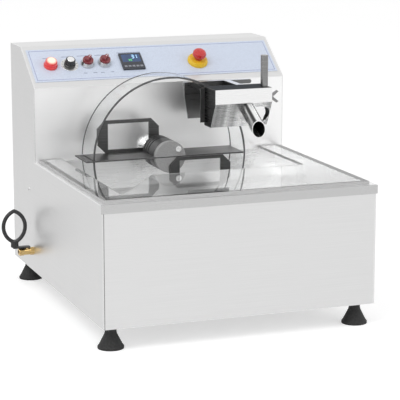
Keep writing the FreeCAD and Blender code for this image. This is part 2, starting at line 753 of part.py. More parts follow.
def paddles():
    paddle("paddle_front", "1", "blade_width / 2")
    rear = paddle("paddle_rear", "-1", "-blade_width / 2 - paddle_thick")
    notch = circle(sketch(rear, offset="-blade_width"), "shaft_radius + 3")
    pocket(notch, "2 * blade_width", back=True)


# Drive

def shaft_bearing():
    """Flange bearing on the mirror wall, its neck through the wall and bracket."""
    made = turned("shaft_bearing", [
        ("shaft_radius + shaft_fit", "-sheet - bracket_thick"),
        ("bearing_neck", "-sheet - bracket_thick"),
        ("bearing_neck", "0"), ("bearing_radius", "0"),
        ("bearing_radius", "bearing_thick / 2"), ("bearing_neck", "bearing_thick"),
        ("shaft_radius + shaft_fit", "bearing_thick")])
    flat = rectangle(sketch(made), ("-2 * bearing_radius", "2 * bearing_radius"),
                     ("-2 * bearing_radius", "seat_gap - wheel_rise"))
    pocket(flat, "bearing_thick", back=True)
    place(made, "wheel_across", "wall_y", "axis_z", turn=TO_FRONT)


def motor_bracket():
    """Plate that stands on the tank's flange behind the mirror wall."""
    half = "bracket_side / 2"
    plate = box((f"wheel_across - {half}", f"wheel_across + {half}"),
                ("wall_y + sheet", "wall_y + sheet + bracket_thick"),
                ("deck_z", f"axis_z + {half}"))
    hole = rod("bearing_neck", "bracket_thick", ("wheel_across", "wall_y + sheet", "axis_z"),
               TO_BACK)
    piece(carve(plate, hole), "motor_bracket")


def gearmotor():
    """Gearbox bolted to the bracket, with the motor and its fan cowl behind."""
    reach = "wheel_along + shaft_back - motor_y"
    made = turned("gearmotor", [
        ("shaft_radius + shaft_fit", "0"), ("gearbox_radius", "0"),
        ("gearbox_radius", "gearbox_long - 6"), ("motor_radius", "gearbox_long"),
        ("motor_radius", "gearbox_long + motor_long - 20"),
        ("motor_radius + 2", "gearbox_long + motor_long - 20"),
        ("motor_radius + 2", "gearbox_long + motor_long - 4"),
        ("motor_radius - 4", "gearbox_long + motor_long"),
        ("0", "gearbox_long + motor_long"), ("0", f"{reach} + 1"),
        ("shaft_radius + shaft_fit", f"{reach} + 1")])
    place(made, "wheel_across", "motor_y", "axis_z", turn=TO_BACK)


# Scraper

def scraper_hood():
    """Folded hood: bright front bar, sloped front, side cheeks and back wall."""
    body = new_body("scraper_hood")
    pad(outline(sketch(body, "YZ_Plane", "hood_x"), [
        ("hood_front", "bar_z"), ("toe_y", "hem_z"), ("hood_back", "hem_z"),
        ("hood_back", "hood_z"), ("hood_front", "hood_z")]), "hood_wide")
    lean = "hood_toe / (hood_drop - hood_bar)"
    off = f"hood_sheet * sqrt(1 + ({lean}) ^ 2)"
    hollow = outline(sketch(body, "YZ_Plane", "hood_x + hood_sheet"), [
        ("hood_front + hood_sheet", f"bar_z - (hood_sheet - {off}) / ({lean})"),
        (f"toe_y + {off} + {lean}", "hem_z - 1"), ("hood_back - hood_sheet", "hem_z - 1"),
        ("hood_back - hood_sheet", "hood_z - hood_sheet"),
        ("hood_front + hood_sheet", "hood_z - hood_sheet")])
    pocket(hollow, "hood_wide - 2 * hood_sheet", back=True)
    inner = "hood_right - hood_sheet"
    slot_z = "hem_z + feed_up"
    for across in ("feed_left", "feed_right"):
        end = circle(sketch(body, "XZ_Plane", "-hood_front"), "feed_round",
                     f"hood_x + {across}", slot_z)
        pocket(end, "hood_deep - 2 * hood_sheet")
    middle = rectangle(sketch(body, "XZ_Plane", "-hood_front"),
                       ("hood_x + feed_left", "hood_x + feed_right"),
                       (f"{slot_z} - feed_round", f"{slot_z} + feed_round"))
    pocket(middle, "hood_deep - 2 * hood_sheet")
    along = sketch(body)
    along.AttachmentOffset = Placement(Vector(), Rotation(X_AXIS, 30))
    tie(along, AttachmentOffset__Base__x="hood_x + spout_across",
        AttachmentOffset__Base__y="hood_front - spout_reach",
        AttachmentOffset__Base__z="hood_z - spout_mouth",
        AttachmentOffset__Rotation__Axis__x="cos(spout_yaw)",
        AttachmentOffset__Rotation__Axis__y="sin(spout_yaw)",
        AttachmentOffset__Rotation__Angle="90 + spout_tilt")
    pocket(circle(along, "spout_radius + spout_gap"), "2 * spout_reach")
    open_back = rectangle(sketch(body, "XZ_Plane", "-hood_back + hood_sheet"),
                          ("rod_x - arm_half - 3", inner), ("hem_z - 1", "hood_z - hood_sheet"))
    pocket(open_back, "hood_sheet")
    feed = rectangle(sketch(body, "XZ_Plane", "-hood_back + hood_sheet"),
                     ("hood_x + 67", "hood_x + 90"), ("bar_z - 6", "hood_z - 12"))
    pocket(feed, "hood_sheet")
    cheek = circle(sketch(body, "YZ_Plane", "hood_right - hood_sheet"), "hood_drop * 0.38",
                   "hood_back", "hem_z + hood_drop * 0.39")
    pocket(cheek, "hood_sheet", back=True)
    post = circle(sketch(body, offset="hood_z"), "rod_radius + turn_fit", "rod_x", "rod_y")
    pocket(post, "hood_sheet")
    clamp = circle(sketch(body, "YZ_Plane", "hood_right - hood_sheet"), "wing_shank + turn_fit",
                   "rod_y", "wing_z")
    pocket(clamp, "hood_sheet", back=True)


def scraper_plate():
    """Back plate behind the hoop, slanted at the left, with a rail along its top."""
    body = new_body("scraper_plate")
    plane = "-plate_y - plate_thick"
    left, right = "hood_x - 10", "hood_x + 91"
    top = "hood_z - 3 - rail_high"
    pad(outline(sketch(body, "XZ_Plane", plane), [
        (f"{left} + plate_taper", "hem_z"), (right, "hem_z"), (right, top), (left, top),
        (left, f"{top} - plate_head")]), "plate_thick")
    past = "hood_right + rail_past - rail_high / 2"
    rail = rectangle(sketch(body, "XZ_Plane", "-plate_y - rail_deep"), (left, past),
                     (top, f"{top} + rail_high"))
    pad(rail, "rail_deep")
    end = circle(sketch(body, "XZ_Plane", "-plate_y - rail_deep"), "rail_high / 2", past,
                 f"{top} + rail_high / 2")
    pad(end, "rail_deep")


def scraper_bridge():
    """Bar over the hoop that joins the back plate to the hood."""
    made = box(("hood_x + 77", "hood_x + 91"), ("hood_back", "plate_y"),
               ("hood_z - 15", "hood_z - 3"))
    piece(made, "scraper_bridge")


def scraper_wipers():
    """Two curved rubber strips beside the hoop's rims, and a straight one by the hood."""
    strips = []
    for low, high in (("hood_back", "blade_front - wiper_gap"), ("blade_back + wiper_gap", "plate_y")):
        axis = ("wheel_across", low, "axis_z")
        ring = carve(rod("hoop_radius + wiper_out", f"({high}) - ({low})", axis, TO_BACK),
                     rod("hoop_radius - wiper_in", f"({high}) - ({low})", axis, TO_BACK))
        keep = box(("hood_x + 3", "hood_x + 76"), (low, high), ("hem_z + 4", "hood_z - 4"))
        strips.append(overlap(ring, keep))
    strips.append(box(("hood_x - strip_wide", "hood_x"), ("hood_back - strip_deep", "hood_back"),
                      ("hem_z + 6", "hood_z - 3")))
    piece(join(*strips), "scraper_wipers")


def spout_tube():
    """Sloping tube under the hood, cut upright at both ends."""
    mouth_y, mouth_z = "hood_front - spout_reach", "hood_z - spout_mouth"
    reach = "2 * spout_mouth"
    level = f"{reach} * cos(spout_tilt)"
    start = (f"hood_x + spout_across - {level} * sin(spout_yaw)",
             f"{mouth_y} + {level} * cos(spout_yaw)", f"{mouth_z} + {reach} * sin(spout_tilt)")
    turn = (X_AXIS, "90 + spout_tilt")
    outer = rod("spout_radius", f"2 * {reach}", start, turn)
    inner = rod("spout_radius - spout_wall", f"2 * {reach}", start, turn)
    for made in (outer, inner):
        tie(made, Placement__Rotation__Axis__x="cos(spout_yaw)",
            Placement__Rotation__Axis__y="sin(spout_yaw)")
    keep = box(("hood_x", "hood_right"), (mouth_y, "hood_back - hood_sheet - 20"),
               ("deck_z", "hood_z - hood_sheet"))
    piece(overlap(carve(outer, inner), keep), "spout_tube")


def support():
    """Fixed arm from the mirror wall, and the upright rod that the hood slides on."""
    seat_z = "arm_z + arm_thick"
    post = rod("rod_radius", f"hood_z + rod_above - {seat_z}", ("rod_x", "rod_y", seat_z))
    piece(post, "support_rod")
    arm = box(("rod_x - arm_half", "rod_x + arm_half"), ("rod_y", "wall_y"),
              ("arm_z", "arm_z + arm_thick"))
    end = rod("arm_half", "arm_thick", ("rod_x", "rod_y", "arm_z"))
    foot = box(("rod_x - 2 * arm_half", "rod_x + 2 * arm_half"), ("wall_y - 5", "wall_y"),
               ("arm_z - arm_thick", "arm_z + 2 * arm_thick"))
    piece(join(arm, end, foot), "support_arm")


def wing_screw():
    """Clamp screw with two wings; its tip bears on the support rod."""
    tip = "rod_x + rod_radius + 0.1 - hood_right"
    body = turned("wing_screw", [
        ("0", tip), ("wing_shank", tip), ("wing_shank", "0.3"), ("5", "0.3"), ("4", "9"), ("0", "9")])
    wings = outline(sketch(body, "XZ_Plane"), [
        ("4", "3"), ("13", "17"), ("10", "21"), ("0", "9"), ("-10", "21"), ("-13", "17"),
        ("-4", "3")])
    pad(wings, "3", both=True)
    place(body, "hood_right", "rod_y", "wing_z", turn=TO_RIGHT)


# Controls

def lamp():
    """Indicator lamp: bezel with a threaded barrel, and a domed lens."""
    on_slope(turned("lamp_bezel", [
        ("8", "-28"), ("bush_radius", "-28"), ("bush_radius", "face"), ("bezel_radius", "face"),
        ("bezel_radius", "face + 3"), ("bezel_radius - 1.5", "face + 5"), ("8", "face + 5")]),
        "lamp_across")
    on_slope(turned("lamp_lens", [
        ("0", "-2"), ("8", "-2"), ("8", "face + 5"), ("12.5", "face + 5"), ("12.5", "face + 12"),
        ("11", "face + 15"), ("7", "face + 17"), ("0", "face + 18")]), "lamp_across")


def speed_control():
    """Fluted knob on a round dial plate."""
    on_slope(turned("dial_plate", [
        ("knob_stem + bush_gap", "face"), ("dial_radius", "face"), ("dial_radius", "face + 0.6"),
        ("dial_radius - 0.4", "face + 1"), ("knob_stem + bush_gap", "face + 1")]), "knob_across")
    base = "face + 1.3"
    body = turned("speed_knob", [
        ("0", "-12"), ("knob_stem", "-12"), ("knob_stem", base), ("knob_radius", base),
        ("knob_radius", f"{base} + 3"), ("knob_radius - 1.5", f"{base} + 4"),
        ("knob_radius - 2", f"{base} + knob_high - 1"), ("knob_radius - 3", f"{base} + knob_high"),
        ("0", f"{base} + knob_high")])
    flute = circle(sketch(body, offset=f"{base} + 4"), "1.6", "knob_radius - 0.8")
    made = pocket(flute, "knob_high", back=True)
    ring = body.newObject("PartDesign::PolarPattern", "Flutes")
    ring.Originals = [made]
    ring.Axis = (flute, ["N_Axis"])
    ring.Angle = 360
    ring.Occurrences = 12
    body.Tip = ring
    on_slope(body, "knob_across")


def selector(side, across):
    """Selector switch: tapered bezel and a turning cap with a pointer bar."""
    on_slope(turned(f"selector_bezel_{side}", [
        ("bush_radius - 1", "-30"), ("bush_radius", "-30"), ("bush_radius", "face"),
        ("bezel_radius", "face"), ("bezel_radius", "face + 3"), ("bezel_radius - 2", "face + 10"),
        ("bush_radius - 1", "face + 10")]), across)
    stem = "bush_radius - 1 - turn_fit"
    body = turned(f"selector_knob_{side}", [
        ("0", "-6"), (stem, "-6"), (stem, "face + 10.3"), ("bush_radius + 0.6", "face + 10.3"),
        ("bush_radius", "face + 14"), ("0", "face + 14")])
    pointer = outline(sketch(body, offset="face + 13"), [
        ("-7.5", "-3.5"), ("6", "-3.5"), ("10", "0"), ("6", "3.5"), ("-7.5", "3.5")])
    pad(pointer, "7.5")
    place_turned(body, across)


def place_turned(body, across):
    """Selector cap on the slope, its pointer turned to the upper right."""
    for spin in body.Group:
        if spin.TypeId == "Sketcher::SketchObject" and spin.GeometryCount == 5:
            spin.AttachmentOffset = Placement(spin.AttachmentOffset.Base, Rotation(Vector(0, 0, 1), 45))
    on_slope(body, across)


def controller():
    """Panel-mounted controller: case, window and five keys."""
    body = new_body("controller_case")
    half, bezel = "case_body / 2", "case_side / 2"
    pad(rectangle(sketch(body, offset="-case_deep"), (f"-{half}", half), (f"-{half}", half)),
        "case_deep + face")
    pad(rectangle(sketch(body, offset="face"), (f"-{bezel}", bezel), (f"-{bezel}", bezel)),
        "case_proud")
    top = "face + case_proud"
    recess = rectangle(sketch(body, offset=top), ("-window_wide / 2", "window_wide / 2"),
                       (f"{bezel} - 4 - window_high", f"{bezel} - 4"))
    pocket(recess, "window_deep")
    wells = sketch(body, offset=top)
    key_low = f"-{bezel} + 5"
    for step in range(-2, 3):
        rectangle(wells, (f"{step} * key_pitch - key_wide / 2 - turn_fit",
                          f"{step} * key_pitch + key_wide / 2 + turn_fit"),
                  (f"{key_low} - turn_fit", f"{key_low} + key_high + turn_fit"))
    pocket(wells, "3")
    on_slope(body, "control_across")
    glass = box(("-window_wide / 2", "window_wide / 2"),
                (f"{bezel} - 4 - window_high", f"{bezel} - 4"),
                (f"{top} - window_deep", f"{top} - 0.2"))
    holder = doc.addObject("Part::Compound", "Window")
    holder.Links = [glass]
    piece(on_slope(holder, "control_across"), "controller_window")
    for step in range(-2, 3):
        key = new_body(f"controller_key_{step + 3}")
        pad(rectangle(sketch(key, offset=f"{top} - 2"), ("-key_wide / 2", "key_wide / 2"),
                      (key_low, f"{key_low} + key_high")), "2 + key_proud / 2")
        pad(rectangle(sketch(key, offset=f"{top} + key_proud / 2"),
                      ("-key_wide / 2 + 0.4", "key_wide / 2 - 0.4"),
                      (f"{key_low} + 0.4", f"{key_low} + key_high - 0.4")), "key_proud / 2")
        on_slope(key, f"control_across + {step} * key_pitch")


def emergency_stop():
    """Yellow base, sliding stem and a mushroom head that twists on the stem."""
    rest = "face + stop_base_high"
    under = f"{rest} + stop_room"
    on_slope(turned("stop_base", [
        ("stop_stem + turn_fit", "-40"), ("bush_radius", "-40"), ("bush_radius", "face"),
        ("stop_base", "face"), ("stop_base", "face + 4"), ("stop_base - 3", rest),
        ("stop_stem + turn_fit", rest)]), "stop_across", "stop_up")
    on_slope(turned("stop_stem", [
        ("0", "-30"), ("stop_stem", "-30"), ("stop_stem", under), ("stop_stem - 3", under),
        ("stop_stem - 3", f"{under} + 5"), ("0", f"{under} + 5")]), "stop_across", "stop_up")
    on_slope(turned("stop_head", [
        ("0", f"{under} + 5.2"), ("stop_stem - 3 + turn_fit", f"{under} + 5.2"),
        ("stop_stem - 3 + turn_fit", f"{under} + 0.2"), ("stop_head - 2", f"{under} + 0.2"),
        ("stop_head", f"{under} + 3"), ("stop_head", f"{under} + 7"),
        ("stop_head - 2", f"{under} + 11"), ("stop_head - 6", f"{under} + 13"),
        ("0", f"{under} + 14")]), "stop_across", "stop_up")


# Drain valve

def drain():
    """Pipe from the jacket, brass valve on the left side, and a looped handle."""
    end = "-inner_x + 10"
    along = rod("valve_round", "valve_along - jacket_back", ("pipe_x", "jacket_back", "valve_up"),
                TO_BACK)
    across = rod("valve_round", f"pipe_x - ({end})", (end, "valve_along", "valve_up"), TO_RIGHT)
    elbow = ball("valve_round", ("pipe_x", "valve_along", "valve_up"))
    bores = [rod("valve_bore", "valve_along - jacket_back",
                 ("pipe_x", "jacket_back", "valve_up"), TO_BACK),
             rod("valve_bore", f"pipe_x - ({end})", (end, "valve_along", "valve_up"), TO_RIGHT),
             ball("valve_bore", ("pipe_x", "valve_along", "valve_up"))]
    piece(carve(join(along, across, elbow), *bores), "drain_pipe")

    def start(out):
        return (f"-side_x - ({out})", "valve_along", "valve_up")

    barrel = rod("valve_round", f"valve_long + 2 + side_x + {end}", start("valve_long + 2"), TO_RIGHT)
    nut = hexagon("valve_hex", "7", start("7"), TO_RIGHT)
    outlet = hexagon("valve_hex", "9", start("valve_long"), TO_RIGHT)
    stem = rod("4", "valve_hex", ("stem_x", "valve_along", "valve_up"))
    bore = rod("valve_bore", "valve_long + side_x + 20", start("valve_long + 5"), TO_RIGHT)
    piece(carve(join(barrel, nut, outlet, stem), bore), "valve_body")


def valve_handle():
    """Lever on the valve's stem that carries a pointed loop of coated bar."""
    body = new_body("valve_handle")
    end = "-lever_reach"
    pad(rectangle(sketch(body), (f"{end} - 4", "6"), ("-6", "6")), "3")
    boss = sketch(body, offset="3")
    pad(circle(boss, "8", end), "14")
    low = "3 + 10"
    half = "(loop_high / 2)"
    curve = f"(({half} ^ 2 + loop_half ^ 2) / (2 * loop_half))"
    drawing = sketch(body, offset=f"{low} + {half}")
    circle(drawing, "loop_round", f"{end} - loop_half")
    axis = drawing.addGeometry(Part.LineSegment(Vector(1, 0, 0), Vector(1, 5, 0)), True)
    pin_point(drawing, axis, 1, f"{end} - loop_half + {curve}", "0")
    pin_point(drawing, axis, 2, f"{end} - loop_half + {curve}", "10")
    arc = body.newObject("PartDesign::Revolution", "Side")
    arc.Profile = drawing
    arc.ReferenceAxis = (drawing, ["Axis0"])
    arc.Midplane = True
    tie(arc, Angle=f"2 * asin({half} / {curve})")
    body.Tip = arc
    middle = sketch(body, "YZ_Plane", end)
    circle(middle, "1", "0", "1")
    other = body.newObject("PartDesign::Mirrored", "OtherSide")
    other.Originals = [arc]
    other.MirrorPlane = (middle, [""])
    body.Tip = other
    peak = body.newObject("PartDesign::AdditiveSphere", "Peak")
    tie(peak, Radius="loop_round", Placement__Base__x=end, Placement__Base__z=f"{low} + loop_high")
    body.Tip = peak
    place(body, "stem_x", "valve_along", "lever_z")


# Feet, inlet and screws

def feet():
    """Flared rubber feet with a stud through the bottom plate."""
    for row, y in (("front", "-foot_y"), ("back", "foot_y")):
        for side, x in (("left", "-foot_x"), ("right", "foot_x")):
            made = turned(f"foot_{row}_{side}", [
                ("0", "0"), ("foot_base", "0"), ("foot_base", "4"), ("foot_base - 3", "8"),
                ("foot_neck + 1", "foot_height * 0.62"), ("foot_neck", "foot_height * 0.72"),
                ("foot_neck", "foot_height"), ("foot_stud", "foot_height"),
                ("foot_stud", "foot_height + 12"), ("0", "foot_height + 12")])
            place(made, x, y)


def power_inlet():
    """Recessed mains inlet in the back, with three pins."""
    flange = box(("inlet_across - 25", "inlet_across + 25"), ("back_y", "back_y + 2.5"),
                 ("inlet_up - 15", "inlet_up + 15"))
    body = box(("inlet_across - 14", "inlet_across + 14"), ("back_y - 26", "back_y"),
               ("inlet_up - 10", "inlet_up + 10"))
    recess = box(("inlet_across - 12", "inlet_across + 12"), ("back_y - 18", "back_y + 3"),
                 ("inlet_up - 8", "inlet_up + 8"))
    pins = [box((f"inlet_across + {x} - 1", f"inlet_across + {x} + 1"), ("back_y - 18", "back_y - 4"),
                (f"inlet_up + {z} - 2.5", f"inlet_up + {z} + 2.5"))
            for x, z in ((-7, -1), (0, 2), (7, -1))]
    piece(join(carve(join(flange, body), recess), *pins), "power_inlet")


def body_screws():
    """Screws round the back panel, and one at each side that holds the tank."""
    heads = []
    for x in ("-side_x + 12", "0", "side_x - 12"):
        for z in ("foot_height + 12", "(foot_height + total_height) / 2", "total_height - 14"):
            heads.append(rod("screw_small", "2", (x, "back_y", z), TO_BACK))
    for x in ("-side_x - 2", "side_x"):
        heads.append(rod("screw_small", "2", (x, "depth * 0.3", "deck_z - tank_straight"), TO_RIGHT))
    made = doc.addObject("Part::Compound", "Screws")
    made.Links = heads
    piece(made, "body_screws")


side_panels()
front_panel()
bottom_plate()
rear_panel()
mirror_wall()
control_housing()
control_panel()
tank()
water_jacket()
heating_element()
temperature_probe()
clear_cover()
drive_shaft()
hub()
hub_screw()
wheel_hoop()
wheel_blade()
paddles()
shaft_bearing()
motor_bracket()
gearmotor()
scraper_hood()
scraper_plate()
scraper_bridge()
scraper_wipers()
spout_tube()
support()
wing_screw()
lamp()
speed_control()
selector("left", "switch_across")
selector("right", "switch_across + switch_pitch")
controller()
emergency_stop()
drain()
valve_handle()
feet()
power_inlet()
body_screws()

for made in pieces:
    bound = [formula for path, formula in made.ExpressionEngine if path.endswith("Placement.Base.x")]
    made.setExpression("Placement.Base.x", " + ".join(bound + [tied("middle_x")]))
doc.recompute()

faults = []
for made in doc.Objects:
    if "Invalid" in made.State or "Error" in made.State:
        faults.append(f"{made.Label}: {made.State}")
for made in pieces:
    if made.Shape.isNull() or not made.Shape.isValid():
        faults.append(f"{made.Label}: no valid shape")
for made in cuts:
    if made.Shape.Volume > made.BaseFeature.Shape.Volume - 0.5:
        faults.append(f"{made.getParentGeoFeatureGroup().Label} {made.Label}: cuts nothing")
if faults:
    raise SystemExit("\n".join(faults))

os.makedirs("parts", exist_ok=True)
for made in pieces:
    made.Shape.exportStep(f"parts/{made.Label}.step")
    print(f"{made.Label}: {len(made.Shape.Solids)} solid(s), {made.Shape.Volume / 1000:.1f} cm3")
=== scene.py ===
# %% [markdown]
# # Chocolate tempering machine
# The machine is a folded steel body with an open tank, a clear wheel that turns in the tank,
# a scraper that takes the chocolate off the wheel, and a sloped control panel behind.
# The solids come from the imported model. This script gives each of them the finish that the
# real piece has, and adds the small things that aren't solids: prints, edges and pointers.

# %% Start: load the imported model
import json
import math
import bmesh
import bpy
import numpy as np
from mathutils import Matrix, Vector


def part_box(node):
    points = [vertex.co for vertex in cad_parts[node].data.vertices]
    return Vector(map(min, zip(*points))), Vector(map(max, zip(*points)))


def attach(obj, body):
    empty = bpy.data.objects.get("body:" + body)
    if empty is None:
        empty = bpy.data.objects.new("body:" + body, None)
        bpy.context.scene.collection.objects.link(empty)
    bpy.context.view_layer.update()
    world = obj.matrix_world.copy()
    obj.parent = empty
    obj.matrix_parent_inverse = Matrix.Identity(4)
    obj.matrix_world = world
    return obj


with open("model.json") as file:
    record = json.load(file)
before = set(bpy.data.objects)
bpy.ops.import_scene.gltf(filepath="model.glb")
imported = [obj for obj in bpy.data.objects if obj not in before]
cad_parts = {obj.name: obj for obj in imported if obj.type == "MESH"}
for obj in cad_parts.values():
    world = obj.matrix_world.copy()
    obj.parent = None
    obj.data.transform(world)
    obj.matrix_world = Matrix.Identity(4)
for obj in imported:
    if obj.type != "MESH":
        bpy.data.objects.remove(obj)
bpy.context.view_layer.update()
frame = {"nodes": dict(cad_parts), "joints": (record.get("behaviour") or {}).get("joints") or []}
nodes = frame["nodes"]

# %% [markdown]
# ## Camera
# The machine is seen from the front, a little from its left and from above, through a long
# lens, so that its upright edges stay nearly parallel. The place is worked out from a point
# that the camera looks at, a bearing, a height angle and a distance.

# %% Camera
look_at = Vector((0.0661, 0.0, 0.2056))
bearing, height_angle, distance = math.radians(20.492), math.radians(11.660), 3.591
flat = math.cos(height_angle) * distance
eye = look_at + Vector((-math.sin(bearing) * flat, -math.cos(bearing) * flat,
                        math.sin(height_angle) * distance))
lens_data = bpy.data.cameras.new("camera")
lens_data.lens = 158.1
lens_data.sensor_width = 36
lens_data.clip_end = 60
camera = bpy.data.objects.new("camera", lens_data)
camera.location = eye
camera.rotation_euler = (look_at - eye).to_track_quat("-Z", "Y").to_euler()
bpy.context.collection.objects.link(camera)
scene = bpy.context.scene
scene.camera = camera
scene.view_settings.view_transform = "Standard"
print("camera", [round(v, 3) for v in eye])

# %% [markdown]
# ## Building materials from nodes
# Every finish is a small network of nodes. This helper adds one node, sets its properties
# and either links or fills its inputs, so that a finish reads from top to bottom.

# %% Node helper
def add(tree, kind, inputs=(), **settings):
    """Adds a node. An input is linked if its value is a socket, and filled in otherwise."""
    made = tree.nodes.new(kind)
    for name, value in settings.items():
        setattr(made, name, value)
    for key, value in dict(inputs).items():
        if isinstance(value, bpy.types.NodeSocket):
            tree.links.new(value, made.inputs[key])
        else:
            made.inputs[key].default_value = value
    return made


def maths(tree, operation, *values):
    """One step of arithmetic, clamped by nothing."""
    made = add(tree, "ShaderNodeMath", operation=operation)
    for slot, value in zip(made.inputs, values):
        if isinstance(value, bpy.types.NodeSocket):
            tree.links.new(value, slot)
        else:
            slot.default_value = value
    return made.outputs[0]


def blend_colour(tree, mask, low, high):
    """Mixes two colours by a mask."""
    made = add(tree, "ShaderNodeMix", data_type="RGBA")
    tree.links.new(mask, made.inputs[0])
    for slot, value in ((made.inputs[6], low), (made.inputs[7], high)):
        if isinstance(value, bpy.types.NodeSocket):
            tree.links.new(value, slot)
        else:
            slot.default_value = value
    return made.outputs[2]


def band(tree, value, low, high, to_low=0.0, to_high=1.0):
    """Stretches a value from one range to another, and holds it inside the new range."""
    made = add(tree, "ShaderNodeMapRange", {"Value": value, "From Min": low, "From Max": high,
                                            "To Min": to_low, "To Max": to_high})
    return made.outputs[0]


def grey(value, alpha=1.0):
    return (value, value, value, alpha)


# %% [markdown]
# ## Effects that several finishes share
# Brushed sheet has fine streaks that run level on upright faces and from side to side on
# lids. Handled metal has faint smudges. Folded or cut edges are painted lighter than the face
# beside them, a painted highlight broken into patches like wear. Each effect is a node group
# with named inputs, so that one finish can have long soft streaks and another short sharp ones.

# %% Groups: streaks, smudges and edges
def new_group(name, inputs, outputs):
    tree = bpy.data.node_groups.new(name, "ShaderNodeTree")
    for label, value in inputs.items():
        socket = tree.interface.new_socket(label, in_out="INPUT", socket_type="NodeSocketFloat")
        socket.default_value = value
    for label in outputs:
        tree.interface.new_socket(label, in_out="OUTPUT", socket_type="NodeSocketFloat")
    start = tree.nodes.new("NodeGroupInput")
    end = tree.nodes.new("NodeGroupOutput")
    return tree, start.outputs, end.inputs


streaks, give, take = new_group("brushed_streaks", {"Fineness": 900.0, "Length": 6.0}, ["Streak"])
place = add(streaks, "ShaderNodeTexCoord")
spot = add(streaks, "ShaderNodeSeparateXYZ", {"Vector": place.outputs["Object"]}).outputs
facing = add(streaks, "ShaderNodeSeparateXYZ", {"Vector": place.outputs["Normal"]}).outputs
level = maths(streaks, "GREATER_THAN", maths(streaks, "ABSOLUTE", facing["Z"]), 0.7)
across = add(streaks, "ShaderNodeMix", {"Factor": level, "A": spot["Z"], "B": spot["Y"]})
along = add(streaks, "ShaderNodeMix",
            {"Factor": level, "A": maths(streaks, "ADD", spot["X"], spot["Y"]), "B": spot["X"]})
spread = add(streaks, "ShaderNodeCombineXYZ",
             {"X": maths(streaks, "MULTIPLY", along.outputs[0], give["Length"]),
              "Y": maths(streaks, "MULTIPLY", across.outputs[0], give["Fineness"])})
fine = add(streaks, "ShaderNodeTexNoise",
           {"Vector": spread.outputs[0], "Scale": 1.0, "Detail": 3.0, "Roughness": 0.65})
streaks.links.new(fine.outputs["Fac"], take["Streak"])

smudges, give, take = new_group("hand_smudges", {"Size": 9.0}, ["Smudge"])
place = add(smudges, "ShaderNodeTexCoord")
cloudy = add(smudges, "ShaderNodeTexNoise", {"Vector": place.outputs["Object"], "Scale": give["Size"],
                                             "Detail": 5.0, "Roughness": 0.6, "Distortion": 0.4})
smudges.links.new(band(smudges, cloudy.outputs["Fac"], 0.35, 0.7), take["Smudge"])

# Painted highlight on edges: the bevel mask lightens folded and cut edges, broken into patches like wear.
edges, give, take = new_group("worn_and_highlit_edges", {"Width": 0.0012, "Breakup": 60.0}, ["Edge"])
rounded = add(edges, "ShaderNodeBevel", {"Radius": give["Width"]}, samples=4)
flat_way = add(edges, "ShaderNodeNewGeometry").outputs["Normal"]
turn = add(edges, "ShaderNodeVectorMath", {0: rounded.outputs[0], 1: flat_way},
           operation="DOT_PRODUCT").outputs["Value"]
place = add(edges, "ShaderNodeTexCoord")
patches = add(edges, "ShaderNodeTexNoise", {"Vector": place.outputs["Object"],
                                            "Scale": give["Breakup"], "Detail": 2.0})
edge = band(edges, turn, 0.995, 0.9)
patchy = band(edges, patches.outputs["Fac"], 0.3, 0.6, 0.5, 1.0)
edges.links.new(maths(edges, "MULTIPLY", edge, patchy), take["Edge"])

print("groups", [g.name for g in bpy.data.node_groups])

# %% [markdown]
# ## Finishes
# A finish starts as one Principled shader. The helper below makes it, with the plain values
# on its own sockets; what changes over the surface is linked afterwards.

# %% Start of a finish
finishes = {}


def new_finish(name, **values):
    """Makes a material with one Principled shader and returns its tree and shader."""
    made = bpy.data.materials.new(name)
    made.use_nodes = True
    tree = made.node_tree
    tree.nodes.clear()
    surface = add(tree, "ShaderNodeBsdfPrincipled")
    for key, value in values.items():
        surface.inputs[key.replace("_", " ")].default_value = value
    out = add(tree, "ShaderNodeOutputMaterial", {"Surface": surface.outputs[0]})
    finishes[name] = made
    return tree, surface, out


def shared(tree, group, **values):
    """Places a shared effect in a finish and returns its output."""
    made = add(tree, "ShaderNodeGroup", node_tree=group)
    for key, value in values.items():
        made.inputs[key].default_value = value
    return made.outputs[0]


def relief(tree, surface, height, distance, strength=1.0):
    """Lets a height pattern lean the surface's normal."""
    bump = add(tree, "ShaderNodeBump", {"Height": height, "Distance": distance,
                                        "Strength": strength})
    tree.links.new(bump.outputs[0], surface.inputs["Normal"])


# %% [markdown]
# ### Steel
# The body is brushed stainless sheet, light and soft. The wall behind the wheel is paler and
# shows soft reflections, and the blade and the paddles are dark. They differ in colour,
# roughness and streaks, so one function makes them all.

# %% Steel finishes
def steel(name, dark, light, rough, rough_more, fineness=900.0, length=6.0, depth=0.00002,
          edge_light=1.0, **values):
    """Metal whose colour and roughness follow the streaks and the smudges, with a painted highlight and
    wear on its edges.
    """
    tree, surface, out = new_finish(name, Metallic=1.0, **values)
    streak = shared(tree, streaks, Fineness=fineness, Length=length)
    smudge = shared(tree, smudges, Size=7.0)
    edge_wear_and_highlight = shared(tree, edges, Width=0.001)
    colour = blend_colour(tree, band(tree, streak, 0.3, 0.7), grey(dark), grey(light))
    # Edges take edge_light as a painted highlight with wear.
    colour = blend_colour(tree, edge_wear_and_highlight, colour, grey(edge_light))
    tree.links.new(colour, surface.inputs["Base Color"])
    mottled = maths(tree, "ADD", maths(tree, "MULTIPLY", streak, 0.6),
                    maths(tree, "MULTIPLY", smudge, 0.4))
    tree.links.new(band(tree, mottled, 0.2, 0.8, rough, rough + rough_more),
                   surface.inputs["Roughness"])
    relief(tree, surface, streak, depth)
    return finishes[name]


steel("body_steel", 0.71, 0.75, 0.34, 0.08, depth=0.000004)
steel("tank_steel", 0.80, 0.88, 0.24, 0.10, depth=0.000006)
steel("mirror_steel", 0.95, 0.97, 0.36, 0.08, depth=0.000002)
steel("dark_steel", 0.07, 0.13, 0.3, 0.15, edge_light=0.45)
steel("bright_steel", 0.80, 0.9, 0.14, 0.12)
